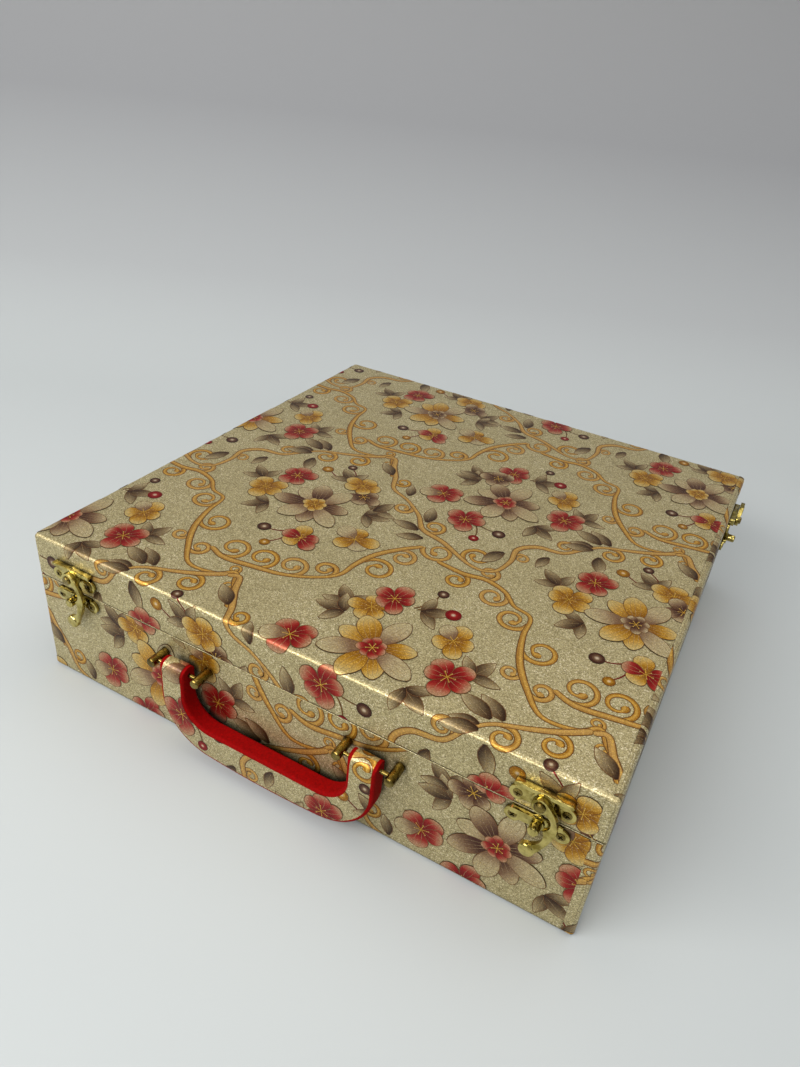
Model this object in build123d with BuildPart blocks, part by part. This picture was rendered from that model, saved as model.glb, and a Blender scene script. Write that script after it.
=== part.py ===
# Bangle box: a covered wooden box with a hinged lid, a drop handle, hook latches and four bangle rolls.
# +X runs right along the front, +Y to the back, +Z up. The origin is the middle of the underside.
from math import atan2, cos, radians, sin, sqrt
import os

from build123d import *

os.makedirs("parts", exist_ok=True)

# Box, outside sizes in mm
box_width = 305.0
box_depth = 313.0
box_height = 86.9
lid_height = 24.5
rim_gap = 0.4

# Boards, covering and lining
wall_thickness = 5.0
bottom_thickness = 4.0
top_thickness = 4.0
cover_thickness = 0.8
corner_radius = 1.5
top_edge_radius = 2.2
rim_radius = 0.5
turn_in = 7.0
underside_margin = 16.0
lining_thickness = 1.0
fit_gap = 0.05

# Bangle rolls
roll_count = 4
roll_pitch = 72.0
roll_diameter = 48.0
roll_head_room = 5.9
roll_crown = 1.5
core_outer_diameter = 40.0
core_wall = 2.0
cap_thickness = 4.0
cap_lip_depth = 8.0
peg_diameter = 10.0
peg_length = 5.2
rest_thickness = 6.0
rest_rise = 4.0
roll_end_gap = 0.6

# Padded panel in the lid
pad_thickness = 2.4
pad_crown = 1.8
pad_edge_gap = 1.5

# Hook latches: the places of the latches, then one latch measured from its pivot
latch_inset = 27.0
side_latch_inset = 34.5
side_hook_rest_angle = 80.0
latch_pivot_rise = 9.6
stud_drop = 13.9
plate_thickness = 1.5
ear_spacing = 20.6
ear_radius = 3.6
plate_screw_drop = 2.3
keeper_screw_drop = 1.2
plate_rim_rise = 5.1
plate_rim_width = 1.9
plate_rim_depth = 3.2
plate_rim_length = 24.6
boss_radius = 4.6
keeper_rim_length = 12.4
keeper_rim_width = 2.6
keeper_rim_depth = 2.6
hook_thickness = 2.3
hook_clearance = 0.15
eye_radius = 3.7
knob_radius = 3.5
knob_offset = -0.8
knob_rise = 0.5
jaw_gap = 6.9
arm_reach = 8.9
arm_widest_drop = 10.8
recess_reach = 5.9
notch_side_gap = 1.9
cusp_side_gap = 1.05
cusp_lift = 1.9
rivet_radius = 1.5
rivet_head_radius = 2.35
rivet_head_height = 1.0
stud_radius = 2.35
stud_foot_radius = 3.1
stud_foot_height = 0.8

# Screws of the plates and hinges
screw_head_radius = 2.0
screw_shank_radius = 1.1
screw_length = 5.6
screw_head_rise = 0.35

# Drop handle
handle_offset = -2.2
handle_half_width = 59.7
handle_half_opening = 45.4
handle_ground_gap = 5.0
handle_bar_height = 18.8
handle_corner_radius = 30.0
handle_bow_radius = 380.0
handle_inner_radius = 15.0
handle_thickness = 9.4
edging_thickness = 1.7
edging_rounding = 1.6
post_diameter = 4.8
post_length = 11.2
post_side_gap = 3.75
pivot_drop = 11.5
pivot_standoff = 7.0
pin_diameter = 2.0
pin_end_inset = 0.6
post_shank_diameter = 3.0
nut_width = 5.5
nut_height = 2.2

# Back hinges
hinge_inset = 57.5
hinge_width = 30.0
leaf_height = 15.0
leaf_thickness = 1.0
knuckle_radius = 2.2
knuckle_count = 5
knuckle_gap = 0.2
knuckle_clearance = 0.35
hinge_pin_radius = 1.0
hinge_pin_overhang = 0.6
hinge_screw_spacing = 18.0

# Places that follow from the sizes
base_height = box_height - lid_height - rim_gap
seam_height = base_height + rim_gap / 2
lid_bottom = base_height + rim_gap
board_width = box_width - 2 * cover_thickness
board_depth = box_depth - 2 * cover_thickness
board_corner = corner_radius - cover_thickness
board_top_corner = top_edge_radius - cover_thickness
inner_width = board_width - 2 * wall_thickness
inner_depth = board_depth - 2 * wall_thickness
floor_height = cover_thickness + bottom_thickness
ceiling_height = box_height - cover_thickness - top_thickness
base_wall_height = base_height - cover_thickness - floor_height
lid_wall_bottom = lid_bottom + cover_thickness
lid_wall_height = ceiling_height - lid_wall_bottom
roll_axis_height = ceiling_height - pad_thickness - pad_crown - roll_head_room - roll_diameter / 2
rest_height = roll_axis_height + rest_rise
rest_face_x = inner_width / 2 - lining_thickness - rest_thickness
cap_face_x = rest_face_x - roll_end_gap
latch_pivot_height = lid_bottom + latch_pivot_rise
pivot_height = base_height - pivot_drop
handle_drop = pivot_height - handle_ground_gap
leg_spacing = handle_half_width + handle_half_opening
leg_places = [handle_offset - leg_spacing / 2, handle_offset + leg_spacing / 2]
leg_width = handle_half_width - handle_half_opening
post_reach = leg_width / 2 + post_side_gap + post_diameter / 2
pivot_y = -box_depth / 2 - pivot_standoff
hook_depth = plate_rim_depth + hook_clearance
stud_height = latch_pivot_height - stud_drop
knob_drop = stud_drop + stud_radius + jaw_gap + knob_radius
hinge_axis_y = box_depth / 2 + knuckle_radius + 0.2

# Faces that the fittings are built on, each with +Z outwards and +Y up the box
front_face = Plane(origin=(0, -box_depth / 2, 0), x_dir=(1, 0, 0), z_dir=(0, -1, 0))
right_face = Plane(origin=(box_width / 2, 0, 0), x_dir=(0, 1, 0), z_dir=(1, 0, 0))
back_face = Plane(origin=(0, box_depth / 2, 0), x_dir=(-1, 0, 0), z_dir=(0, 1, 0))


def face_plane(face, across, up, out=0.0, turn=0.0):
    """A plane like face, moved across, up and outwards, and turned anticlockwise as seen from outside."""
    x_dir = face.x_dir * cos(radians(turn)) + face.y_dir * sin(radians(turn))
    return Plane(origin=face.from_local_coords((across, up, out)), x_dir=x_dir, z_dir=face.z_dir)


def save(piece, name):
    piece.part.label = name
    export_step(piece.part, f"parts/{name}.step")


latches = {
    "left": (front_face, latch_inset - box_width / 2, 0.0),
    "right": (front_face, box_width / 2 - latch_inset, 0.0),
    "side": (right_face, box_depth / 2 - side_latch_inset, side_hook_rest_angle),
}
post_places = [leg + end * post_reach for leg in leg_places for end in (-1, 1)]
hinge_places = [hinge_inset - box_width / 2, box_width / 2 - hinge_inset]
hinge_screw_places = [
    center + offset for center in hinge_places for offset in (-hinge_screw_spacing / 2, hinge_screw_spacing / 2)
]
leaf_screw_drop = (knuckle_radius + knuckle_clearance + leaf_height) / 2


def latch_screws(face, height):
    """Screw places of the plates on one face, at one height."""
    return [
        (center + offset, height)
        for plate_face, center, _ in latches.values()
        if plate_face is face
        for offset in (-ear_spacing / 2, ear_spacing / 2)
    ]


def latch_centers(face, height):
    return [(center, height) for plate_face, center, _ in latches.values() if plate_face is face]


keeper_screw_height = stud_height - keeper_screw_drop
plate_screw_height = latch_pivot_height - plate_screw_drop
hinge_screw_points = {
    "base": [(place, seam_height - leaf_screw_drop) for place in hinge_screw_places],
    "lid": [(place, seam_height + leaf_screw_drop) for place in hinge_screw_places],
}

# Holes that screws, studs, rivets and posts need in the covering and the walls: face, places, radius
fixing_holes = {
    "base": [
        (front_face, latch_screws(front_face, keeper_screw_height), screw_shank_radius),
        (right_face, latch_screws(right_face, keeper_screw_height), screw_shank_radius),
        (front_face, latch_centers(front_face, stud_height), rivet_radius),
        (right_face, latch_centers(right_face, stud_height), rivet_radius),
        (front_face, [(place, pivot_height) for place in post_places], post_shank_diameter / 2),
        (back_face, hinge_screw_points["base"], screw_shank_radius),
    ],
    "lid": [
        (front_face, latch_screws(front_face, plate_screw_height), screw_shank_radius),
        (right_face, latch_screws(right_face, plate_screw_height), screw_shank_radius),
        (front_face, latch_centers(front_face, latch_pivot_height), rivet_radius),
        (right_face, latch_centers(right_face, latch_pivot_height), rivet_radius),
        (back_face, hinge_screw_points["lid"], screw_shank_radius),
    ],
}


def drill(group, faces):
    """Cut the fixing holes of one group through everything behind the given faces."""
    for face, places, radius in fixing_holes[group]:
        if face in faces and places:
            with BuildSketch(face) as holes:
                with Locations(*places):
                    Circle(radius + fit_gap)
            extrude(holes.sketch, amount=-(cover_thickness + wall_thickness), mode=Mode.SUBTRACT)


# Base tray: bottom board and four walls

with BuildPart() as base_bottom_board:
    with BuildSketch(Plane.XY.offset(cover_thickness)):
        Rectangle(board_width, board_depth)
    extrude(amount=bottom_thickness)
    fillet(base_bottom_board.edges().filter_by(Axis.Z), radius=board_corner)
    fillet(base_bottom_board.faces().sort_by(Axis.Z)[0].edges(), radius=board_corner)
save(base_bottom_board, "base_bottom_board")

with BuildPart() as base_bottom_sheet:
    with BuildSketch(Plane.XY):
        Rectangle(box_width - 2 * underside_margin, box_depth - 2 * underside_margin)
    extrude(amount=cover_thickness)
save(base_bottom_sheet, "base_bottom_sheet")


def long_wall(group, face, bottom, height):
    """A front or back wall, which runs the whole width and has rounded outer corners."""
    out = face.z_dir.Y
    with BuildPart() as wall:
        with BuildSketch(Plane.XY.offset(bottom)):
            with Locations((0, out * (board_depth - wall_thickness) / 2)):
                Rectangle(board_width, wall_thickness)
        extrude(amount=height)
        upright_edges = wall.edges().filter_by(Axis.Z).sort_by(Axis((0, 0, 0), (0, out, 0)))
        fillet(upright_edges[-2:], radius=board_corner)
        drill(group, [face])
        if group == "base" and face is front_face:
            with BuildSketch(face_plane(face, 0, 0, -cover_thickness - wall_thickness)):
                with Locations(*[(place, pivot_height) for place in post_places]):
                    RegularPolygon(nut_width / 2, 6, major_radius=False)
            extrude(amount=nut_height, mode=Mode.SUBTRACT)
    return wall


def side_wall(group, out, bottom, height):
    """A left or right wall, which stands between the front and back walls."""
    with BuildPart() as wall:
        with BuildSketch(Plane.XY.offset(bottom)):
            with Locations((out * (board_width - wall_thickness) / 2, 0)):
                Rectangle(wall_thickness, inner_depth)
        extrude(amount=height)
        if out > 0:
            drill(group, [right_face])
    return wall


for side, face in (("front", front_face), ("back", back_face)):
    save(long_wall("base", face, floor_height, base_wall_height), f"base_{side}_wall")
    save(long_wall("lid", face, lid_wall_bottom, lid_wall_height), f"lid_{side}_wall")
for side, out in (("left", -1), ("right", 1)):
    save(side_wall("base", out, floor_height, base_wall_height), f"base_{side}_wall")
    save(side_wall("lid", out, lid_wall_bottom, lid_wall_height), f"lid_{side}_wall")

with BuildPart() as lid_top_board:
    with BuildSketch(Plane.XY.offset(ceiling_height)):
        Rectangle(board_width, board_depth)
    extrude(amount=top_thickness)
    fillet(lid_top_board.edges().filter_by(Axis.Z), radius=board_corner)
    fillet(lid_top_board.faces().sort_by(Axis.Z)[-1].edges(), radius=board_top_corner)
save(lid_top_board, "lid_top_board")


# Covering: a wrapped skin that turns over the rim to the inside

def board_block(bottom, height, rounded_end, radius):
    """The space that the boards fill, with the same rounded edges."""
    with BuildPart(mode=Mode.PRIVATE) as block:
        with BuildSketch(Plane.XY.offset(bottom)):
            Rectangle(board_width, board_depth)
        extrude(amount=height)
        fillet(block.edges().filter_by(Axis.Z), radius=board_corner)
        fillet(block.faces().sort_by(Axis.Z)[rounded_end].edges(), radius=radius)
    return block.part


base_block = board_block(cover_thickness, base_height - 2 * cover_thickness, 0, board_corner)
lid_block = board_block(lid_wall_bottom, lid_height - 2 * cover_thickness, -1, board_top_corner)

with BuildPart() as base_cover:
    with BuildSketch(Plane.XY):
        Rectangle(box_width, box_depth)
    extrude(amount=base_height)
    fillet(base_cover.edges().filter_by(Axis.Z), radius=corner_radius)
    fillet(base_cover.faces().sort_by(Axis.Z)[0].edges(), radius=corner_radius)
    fillet(base_cover.faces().sort_by(Axis.Z)[-1].edges(), radius=rim_radius)
    add(base_block, mode=Mode.SUBTRACT)
    with BuildSketch(Plane.XY.offset(base_height - turn_in)):
        Rectangle(inner_width, inner_depth)
    extrude(amount=turn_in)
    with BuildSketch(Plane.XY.offset(base_height - turn_in)):
        Rectangle(inner_width - 2 * cover_thickness, inner_depth - 2 * cover_thickness)
    extrude(amount=turn_in, mode=Mode.SUBTRACT)
    with BuildSketch(Plane.XY):
        Rectangle(box_width - 2 * underside_margin, box_depth - 2 * underside_margin)
    extrude(amount=cover_thickness, mode=Mode.SUBTRACT)
    drill("base", [front_face, right_face, back_face])
save(base_cover, "base_cover")

with BuildPart() as lid_cover:
    with BuildSketch(Plane.XY.offset(lid_bottom)):
        Rectangle(box_width, box_depth)
    extrude(amount=lid_height)
    fillet(lid_cover.edges().filter_by(Axis.Z), radius=corner_radius)
    fillet(lid_cover.faces().sort_by(Axis.Z)[-1].edges(), radius=top_edge_radius)
    fillet(lid_cover.faces().sort_by(Axis.Z)[0].edges(), radius=rim_radius)
    add(lid_block, mode=Mode.SUBTRACT)
    with BuildSketch(Plane.XY.offset(lid_bottom)):
        Rectangle(inner_width, inner_depth)
    extrude(amount=turn_in)
    with BuildSketch(Plane.XY.offset(lid_bottom)):
        Rectangle(inner_width - 2 * cover_thickness, inner_depth - 2 * cover_thickness)
    extrude(amount=turn_in, mode=Mode.SUBTRACT)
    drill("lid", [front_face, right_face, back_face])
save(lid_cover, "lid_cover")

# Lining of the tray, up to the turned-in covering
with BuildPart() as base_lining:
    with BuildSketch(Plane.XY.offset(floor_height)):
        Rectangle(inner_width, inner_depth)
    extrude(amount=base_height - turn_in - floor_height)
    with BuildSketch(Plane.XY.offset(floor_height + lining_thickness)):
        Rectangle(inner_width - 2 * lining_thickness, inner_depth - 2 * lining_thickness)
    extrude(amount=base_height, mode=Mode.SUBTRACT)
save(base_lining, "base_lining")

with BuildPart() as lid_lining:
    with BuildSketch(Plane.XY.offset(lid_bottom + turn_in)):
        Rectangle(inner_width, inner_depth)
        Rectangle(inner_width - 2 * lining_thickness, inner_depth - 2 * lining_thickness, mode=Mode.SUBTRACT)
    extrude(amount=ceiling_height - lid_bottom - turn_in)
save(lid_lining, "lid_lining")


def pad_section(shrink, drop):
    """A rectangle of the padded panel, shrunk all round and lowered from the ceiling."""
    width = inner_width - 2 * (lining_thickness + pad_edge_gap + shrink)
    depth = inner_depth - 2 * (lining_thickness + pad_edge_gap + shrink)
    return Plane.XY.offset(ceiling_height - drop), width, depth


# The panel is drawn in at its edge and crowned towards the middle
pad_steps = [(1.2, 0.0), (0.0, 0.5 * pad_thickness), (2.5, pad_thickness), (26.0, pad_thickness + pad_crown)]
with BuildPart() as lid_pad:
    for shrink, drop in pad_steps:
        pad_plane, pad_width, pad_depth = pad_section(shrink, drop)
        with BuildSketch(pad_plane):
            RectangleRounded(pad_width, pad_depth, 8.0)
    loft(ruled=True)
save(lid_pad, "lid_pad")


# Roll rests: boards against the side linings, with a round-bottomed notch for each peg
roll_places = [(index - (roll_count - 1) / 2) * roll_pitch for index in range(roll_count)]
notch_radius = peg_diameter / 2 + fit_gap
rest_base = floor_height + lining_thickness
rest_length = inner_depth - 2 * lining_thickness

for side, out in (("left", -1), ("right", 1)):
    inner_face_x = rest_face_x if out > 0 else -rest_face_x - rest_thickness
    with BuildPart() as roll_rest:
        with BuildSketch(Plane.YZ.offset(inner_face_x)):
            with Locations((0, rest_base + (rest_height - rest_base) / 2)):
                Rectangle(rest_length, rest_height - rest_base)
            with Locations(*[(place, roll_axis_height) for place in roll_places]):
                Circle(notch_radius, mode=Mode.SUBTRACT)
            with Locations(*[(place, roll_axis_height + notch_radius) for place in roll_places]):
                Rectangle(2 * notch_radius, 2 * notch_radius, mode=Mode.SUBTRACT)
        extrude(amount=rest_thickness)
    save(roll_rest, f"{side}_roll_rest")


# Bangle rolls: cardboard core, padded velvet sleeve and turned end caps with pegs
core_radius = core_outer_diameter / 2
sleeve_radius = roll_diameter / 2

for number, place in enumerate(roll_places, start=1):
    axis_plane = Plane(origin=(0, place, roll_axis_height), x_dir=(0, 1, 0), z_dir=(1, 0, 0))
    core_half_length = cap_face_x - cap_thickness
    with BuildPart() as roll_core:
        with BuildSketch(axis_plane):
            Circle(core_radius)
            Circle(core_radius - core_wall, mode=Mode.SUBTRACT)
        extrude(amount=core_half_length, both=True)
    save(roll_core, f"roll_{number}_core")

    # The sleeve is a closed ring of padding, drawn in at both ends and fuller in the middle
    with BuildPart() as roll_sleeve:
        with BuildSketch(Plane.XZ.offset(-place)) as sleeve_section:
            with BuildLine():
                start = (-core_half_length, roll_axis_height + core_radius)
                shoulder = (-core_half_length + 5.0, roll_axis_height + sleeve_radius - roll_crown)
                crown = (0.0, roll_axis_height + sleeve_radius)
                Line(start, (-core_half_length, roll_axis_height + core_radius + 1.2))
                Line((-core_half_length, roll_axis_height + core_radius + 1.2), shoulder)
                ThreePointArc(shoulder, crown, (-shoulder[0], shoulder[1]))
                Line((-shoulder[0], shoulder[1]), (core_half_length, roll_axis_height + core_radius + 1.2))
                Line((core_half_length, roll_axis_height + core_radius + 1.2), (core_half_length, start[1]))
                Line((core_half_length, start[1]), start)
            make_face()
        revolve(axis=Axis((0, place, roll_axis_height), (1, 0, 0)))
    save(roll_sleeve, f"roll_{number}_sleeve")

    with BuildPart() as roll_caps:
        for out in (-1, 1):
            cap_plane = Plane(origin=(out * cap_face_x, place, roll_axis_height), x_dir=(0, 1, 0), z_dir=(out, 0, 0))
            with BuildSketch(cap_plane):
                Circle(core_radius + 1.0)
            extrude(amount=-cap_thickness)
            with BuildSketch(face_plane(cap_plane, 0, 0, -cap_thickness)):
                Circle(core_radius - core_wall)
            extrude(amount=-cap_lip_depth)
            with BuildSketch(cap_plane):
                Circle(peg_diameter / 2)
            extrude(amount=peg_length)
    save(roll_caps, f"roll_{number}_caps")


# Hook latches: plate on the lid, keeper plate with a stud on the base, and a cast swing hook

def screw(face, places, head_out):
    """Countersunk screws whose heads stand a little proud of a plate of the given thickness."""
    for across, up in places:
        seat = face_plane(face, across, up, head_out)
        with BuildSketch(seat) as head:
            Circle(screw_head_radius)
        extrude(head.sketch, amount=screw_head_rise, taper=50)
        extrude(head.sketch, amount=-(screw_head_radius - screw_shank_radius), taper=45)
        with BuildSketch(seat) as shank:
            Circle(screw_shank_radius)
        extrude(shank.sketch, amount=-screw_length)


def countersink(plane, places, thickness):
    """Screw holes in a plate lying on the plane, matching the screws' heads."""
    with BuildSketch(face_plane(plane, 0, 0, thickness)) as heads:
        with Locations(*places):
            Circle(screw_head_radius)
    extrude(heads.sketch, amount=-(screw_head_radius - screw_shank_radius), taper=45, mode=Mode.SUBTRACT)
    with BuildSketch(plane) as shanks:
        with Locations(*places):
            Circle(screw_shank_radius + fit_gap)
    extrude(shanks.sketch, amount=thickness, mode=Mode.SUBTRACT)


def build_hook_plate(pivot):
    """Upper plate: two ears, a boss that lifts the hook, and a thick straight rim along the top."""
    ears = [(-ear_spacing / 2, -plate_screw_drop), (ear_spacing / 2, -plate_screw_drop)]
    rim_center = plate_rim_rise - plate_rim_width / 2
    body_bottom = -plate_screw_drop - ear_radius * 0.7
    with BuildPart() as plate:
        with BuildSketch(pivot):
            with Locations(*ears):
                Circle(ear_radius)
            Circle(boss_radius + 0.9)
            with Locations((0, (rim_center + body_bottom) / 2)):
                Rectangle(ear_spacing, rim_center - body_bottom)
        extrude(amount=plate_thickness)
        with BuildSketch(pivot):
            Circle(boss_radius)
        extrude(amount=hook_depth - fit_gap)
        with BuildSketch(pivot):
            with Locations((0, rim_center)):
                RectangleRounded(plate_rim_length, plate_rim_width, plate_rim_width * 0.45)
        extrude(amount=plate_rim_depth)
        countersink(pivot, ears, plate_thickness)
        with BuildSketch(pivot):
            Circle(rivet_radius + fit_gap)
        extrude(amount=hook_depth, mode=Mode.SUBTRACT)
    return plate


def build_keeper_plate(stud):
    """Lower plate: two ears, a seat for the stud and a raised rim that the hook closes against."""
    ears = [(-ear_spacing / 2, -keeper_screw_drop), (ear_spacing / 2, -keeper_screw_drop)]
    top = base_height - rim_radius - stud_height
    body_bottom = -keeper_screw_drop - ear_radius * 0.5
    rim_right = stud_foot_radius * 0.2
    with BuildPart() as plate:
        with BuildSketch(stud):
            with Locations(*ears):
                Circle(ear_radius)
            Circle(stud_foot_radius + 1.1)
            with Locations((0, (top + body_bottom) / 2)):
                Rectangle(ear_spacing, top - body_bottom)
        extrude(amount=plate_thickness)
        with BuildSketch(stud):
            with Locations((rim_right - keeper_rim_length / 2, top - keeper_rim_width / 2)):
                RectangleRounded(keeper_rim_length, keeper_rim_width, keeper_rim_width * 0.4)
        extrude(amount=keeper_rim_depth)
        with BuildSketch(face_plane(stud, 0, 0, plate_thickness)):
            Circle(stud_foot_radius + fit_gap)
        extrude(amount=keeper_rim_depth, mode=Mode.SUBTRACT)
        countersink(stud, ears, plate_thickness)
        with BuildSketch(stud):
            Circle(rivet_radius + fit_gap)
        extrude(amount=plate_thickness, mode=Mode.SUBTRACT)
    return plate


def build_hook(pivot, rest_angle):
    """Cast hook: an eye, an arm bulging round the stud, a pointed cusp above it and a round knob."""
    hook_plane = face_plane(pivot, 0, 0, hook_depth, rest_angle)
    knob_center = (knob_offset, -knob_drop)
    knob_top = (knob_offset, -knob_drop + knob_radius)
    knob_right = (knob_offset + knob_radius, -knob_drop)
    eye_top = (eye_radius * sin(radians(45)), eye_radius * cos(radians(45)))
    eye_bottom = (eye_radius * sin(radians(40)), -eye_radius * cos(radians(40)))
    widest = (arm_reach, -arm_widest_drop)
    cusp = (stud_radius + cusp_side_gap, -stud_drop + cusp_lift)
    recess = (recess_reach, (eye_bottom[1] + cusp[1]) / 2)
    notch = (stud_radius + notch_side_gap, -stud_drop - stud_radius)
    with BuildPart() as hook:
        with BuildSketch(hook_plane):
            with BuildLine():
                ThreePointArc(eye_top, (arm_reach * 0.86, -arm_widest_drop * 0.42), widest)
                ThreePointArc(widest, (arm_reach * 0.78, -(arm_widest_drop + knob_drop) * 0.47), knob_right)
                Line(knob_right, knob_center)
                Line(knob_center, knob_top)
                ThreePointArc(knob_top, notch, cusp)
                ThreePointArc(cusp, recess, eye_bottom)
                Line(eye_bottom, (0, 0))
                Line((0, 0), eye_top)
            make_face()
            Circle(eye_radius)
            with Locations(knob_center):
                Circle(knob_radius)
        extrude(amount=hook_thickness)
        with BuildSketch(face_plane(hook_plane, 0, 0, hook_thickness)):
            with Locations(knob_center):
                Circle(knob_radius)
        extrude(amount=knob_rise, taper=40)
        with BuildSketch(hook_plane):
            Circle(rivet_radius + fit_gap)
        extrude(amount=hook_thickness + knob_rise, mode=Mode.SUBTRACT)
    return hook


def headed_pin(plane, foot, body_top, body_radius, head_radius, head_height):
    """A round pin along the plane's normal, from foot to body_top, with a domed head on it."""
    with BuildSketch(face_plane(plane, 0, 0, foot)) as body:
        Circle(body_radius)
    extrude(body.sketch, amount=body_top - foot)
    with BuildSketch(face_plane(plane, 0, 0, body_top)) as head:
        Circle(head_radius)
    extrude(head.sketch, amount=head_height * 0.5)
    with BuildSketch(face_plane(plane, 0, 0, body_top + head_height * 0.5)) as dome:
        Circle(head_radius)
    extrude(dome.sketch, amount=head_height * 0.5, taper=50)


pivots = {}
studs = {}
for name, (face, across, rest_angle) in latches.items():
    pivots[name] = face_plane(face, across, latch_pivot_height)
    studs[name] = face_plane(face, across, stud_height)
    save(build_hook_plate(pivots[name]), f"{name}_hook_plate")
    save(build_keeper_plate(studs[name]), f"{name}_keeper_plate")
    save(build_hook(pivots[name], rest_angle), f"{name}_hook")

rivet_foot = -(cover_thickness + wall_thickness - 0.5)
with BuildPart() as hook_rivets:
    for pivot in pivots.values():
        rivet_top = hook_depth + hook_thickness + 2 * fit_gap
        headed_pin(pivot, rivet_foot, rivet_top, rivet_radius, rivet_head_radius, rivet_head_height)
save(hook_rivets, "hook_rivets")

with BuildPart() as latch_studs:
    for stud in studs.values():
        with BuildSketch(face_plane(stud, 0, 0, rivet_foot)):
            Circle(rivet_radius)
        extrude(amount=plate_thickness - rivet_foot)
        with BuildSketch(face_plane(stud, 0, 0, plate_thickness)):
            Circle(stud_foot_radius)
        extrude(amount=stud_foot_height)
        stud_top = hook_depth + hook_thickness + rivet_head_height * 0.4
        headed_pin(stud, plate_thickness, stud_top, stud_radius, stud_radius, rivet_head_height)
save(latch_studs, "latch_studs")

with BuildPart() as hook_plate_screws:
    for face in (front_face, right_face):
        screw(face, latch_screws(face, plate_screw_height), plate_thickness)
save(hook_plate_screws, "hook_plate_screws")

with BuildPart() as keeper_plate_screws:
    for face in (front_face, right_face):
        screw(face, latch_screws(face, keeper_screw_height), plate_thickness)
save(keeper_plate_screws, "keeper_plate_screws")


# Drop handle: a bent board between two pairs of posts, covered on its faces and edged in red
handle_plane = Plane(origin=(handle_offset, pivot_y, pivot_height), x_dir=(1, 0, 0), z_dir=(0, -1, 0))
handle_side = Plane.YZ.offset(handle_offset)
leg_top = handle_thickness / 2
pin_radius = pin_diameter / 2


def bowed_outline(inset, mode=Mode.ADD):
    """The handle's outer outline: straight legs, round corners and a bowed lower edge."""
    half = handle_half_width - inset
    low = -handle_drop + inset
    corner = handle_corner_radius - inset
    bow = handle_bow_radius - inset
    reach = half - corner
    rise = sqrt((bow - corner) ** 2 - reach**2)
    corner_up = low + bow - rise
    join = (bow * reach / (bow - corner), low + bow - bow * rise / (bow - corner))
    half_turn = atan2(rise, reach) / 2
    middle = (reach + corner * cos(half_turn), corner_up - corner * sin(half_turn))
    with BuildLine() as outline:
        Line((-half, leg_top), (-half, corner_up))
        ThreePointArc((-half, corner_up), (-middle[0], middle[1]), (-join[0], join[1]))
        ThreePointArc((-join[0], join[1]), (0, low), join)
        ThreePointArc(join, middle, (half, corner_up))
        Line((half, corner_up), (half, leg_top))
        Line((half, leg_top), (-half, leg_top))
    make_face(outline.edges(), mode=mode)


def opening_outline(inset, mode=Mode.SUBTRACT):
    """The space between the legs, with round lower corners."""
    half = handle_half_opening + inset
    low = -handle_drop + handle_bar_height - inset
    corner = handle_inner_radius + inset
    middle = corner * (1 - cos(radians(45)))
    with BuildLine() as outline:
        Line((-half, leg_top), (-half, low + corner))
        ThreePointArc((-half, low + corner), (-half + middle, low + middle), (-half + corner, low))
        Line((-half + corner, low), (half - corner, low))
        ThreePointArc((half - corner, low), (half - middle, low + middle), (half, low + corner))
        Line((half, low + corner), (half, leg_top))
        Line((half, leg_top), (-half, leg_top))
    make_face(outline.edges(), mode=mode)


def round_long_edges(piece):
    """Round the edges that the last step made along both faces of the handle, but not at the leg tops."""
    long_edges = [
        edge
        for edge in piece.edges(Select.LAST)
        if abs(edge.center().Y - pivot_y) > handle_thickness / 2 - fit_gap
        and edge.center().Z < pivot_height + leg_top - fit_gap
    ]
    fillet(long_edges, radius=edging_rounding)


def finish_legs(thickness):
    """Round the leg tops about the pivot and bore them for the pins."""
    with BuildSketch(handle_side) as side_view:
        with Locations((pivot_y, pivot_height)):
            Circle(thickness / 2)
        with Locations((pivot_y, pivot_height - handle_drop / 2)):
            Rectangle(thickness, handle_drop)
    extrude(side_view.sketch, amount=handle_half_width, both=True, mode=Mode.INTERSECT)
    with BuildSketch(handle_side) as bore:
        with Locations((pivot_y, pivot_height)):
            Circle(pin_radius + fit_gap)
    extrude(bore.sketch, amount=handle_half_width, both=True, mode=Mode.SUBTRACT)


def build_handle_layer(thickness):
    """The space between the two edgings, at one thickness."""
    with BuildPart() as layer:
        with BuildSketch(handle_plane):
            bowed_outline(edging_thickness)
            opening_outline(edging_thickness)
        extrude(amount=thickness / 2, both=True)
        finish_legs(thickness)
    return layer


handle_core = build_handle_layer(handle_thickness - 2 * cover_thickness)
save(handle_core, "handle_core")

with BuildPart() as handle_cover:
    add(build_handle_layer(handle_thickness).part)
    add(handle_core.part, mode=Mode.SUBTRACT)
save(handle_cover, "handle_cover")

with BuildPart() as handle_outer_edging:
    with BuildSketch(handle_plane) as outside:
        bowed_outline(0)
    extrude(outside.sketch, amount=handle_thickness / 2, both=True)
    round_long_edges(handle_outer_edging)
    with BuildSketch(handle_plane) as inside:
        bowed_outline(edging_thickness)
    extrude(inside.sketch, amount=handle_thickness / 2, both=True, mode=Mode.SUBTRACT)
    finish_legs(handle_thickness)
save(handle_outer_edging, "handle_outer_edging")

with BuildPart() as handle_inner_edging:
    with BuildSketch(handle_plane) as outside:
        opening_outline(edging_thickness, mode=Mode.ADD)
    extrude(outside.sketch, amount=handle_thickness / 2, both=True)
    with BuildSketch(handle_plane) as inside:
        opening_outline(0, mode=Mode.ADD)
    extrude(inside.sketch, amount=handle_thickness / 2, both=True, mode=Mode.SUBTRACT)
    round_long_edges(handle_inner_edging)
    finish_legs(handle_thickness)
save(handle_inner_edging, "handle_inner_edging")

# Posts: turned studs through the front wall, each held by a nut let into the wall's inner face
wall_depth = cover_thickness + wall_thickness
post_points = [(place, pivot_height) for place in post_places]

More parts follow.
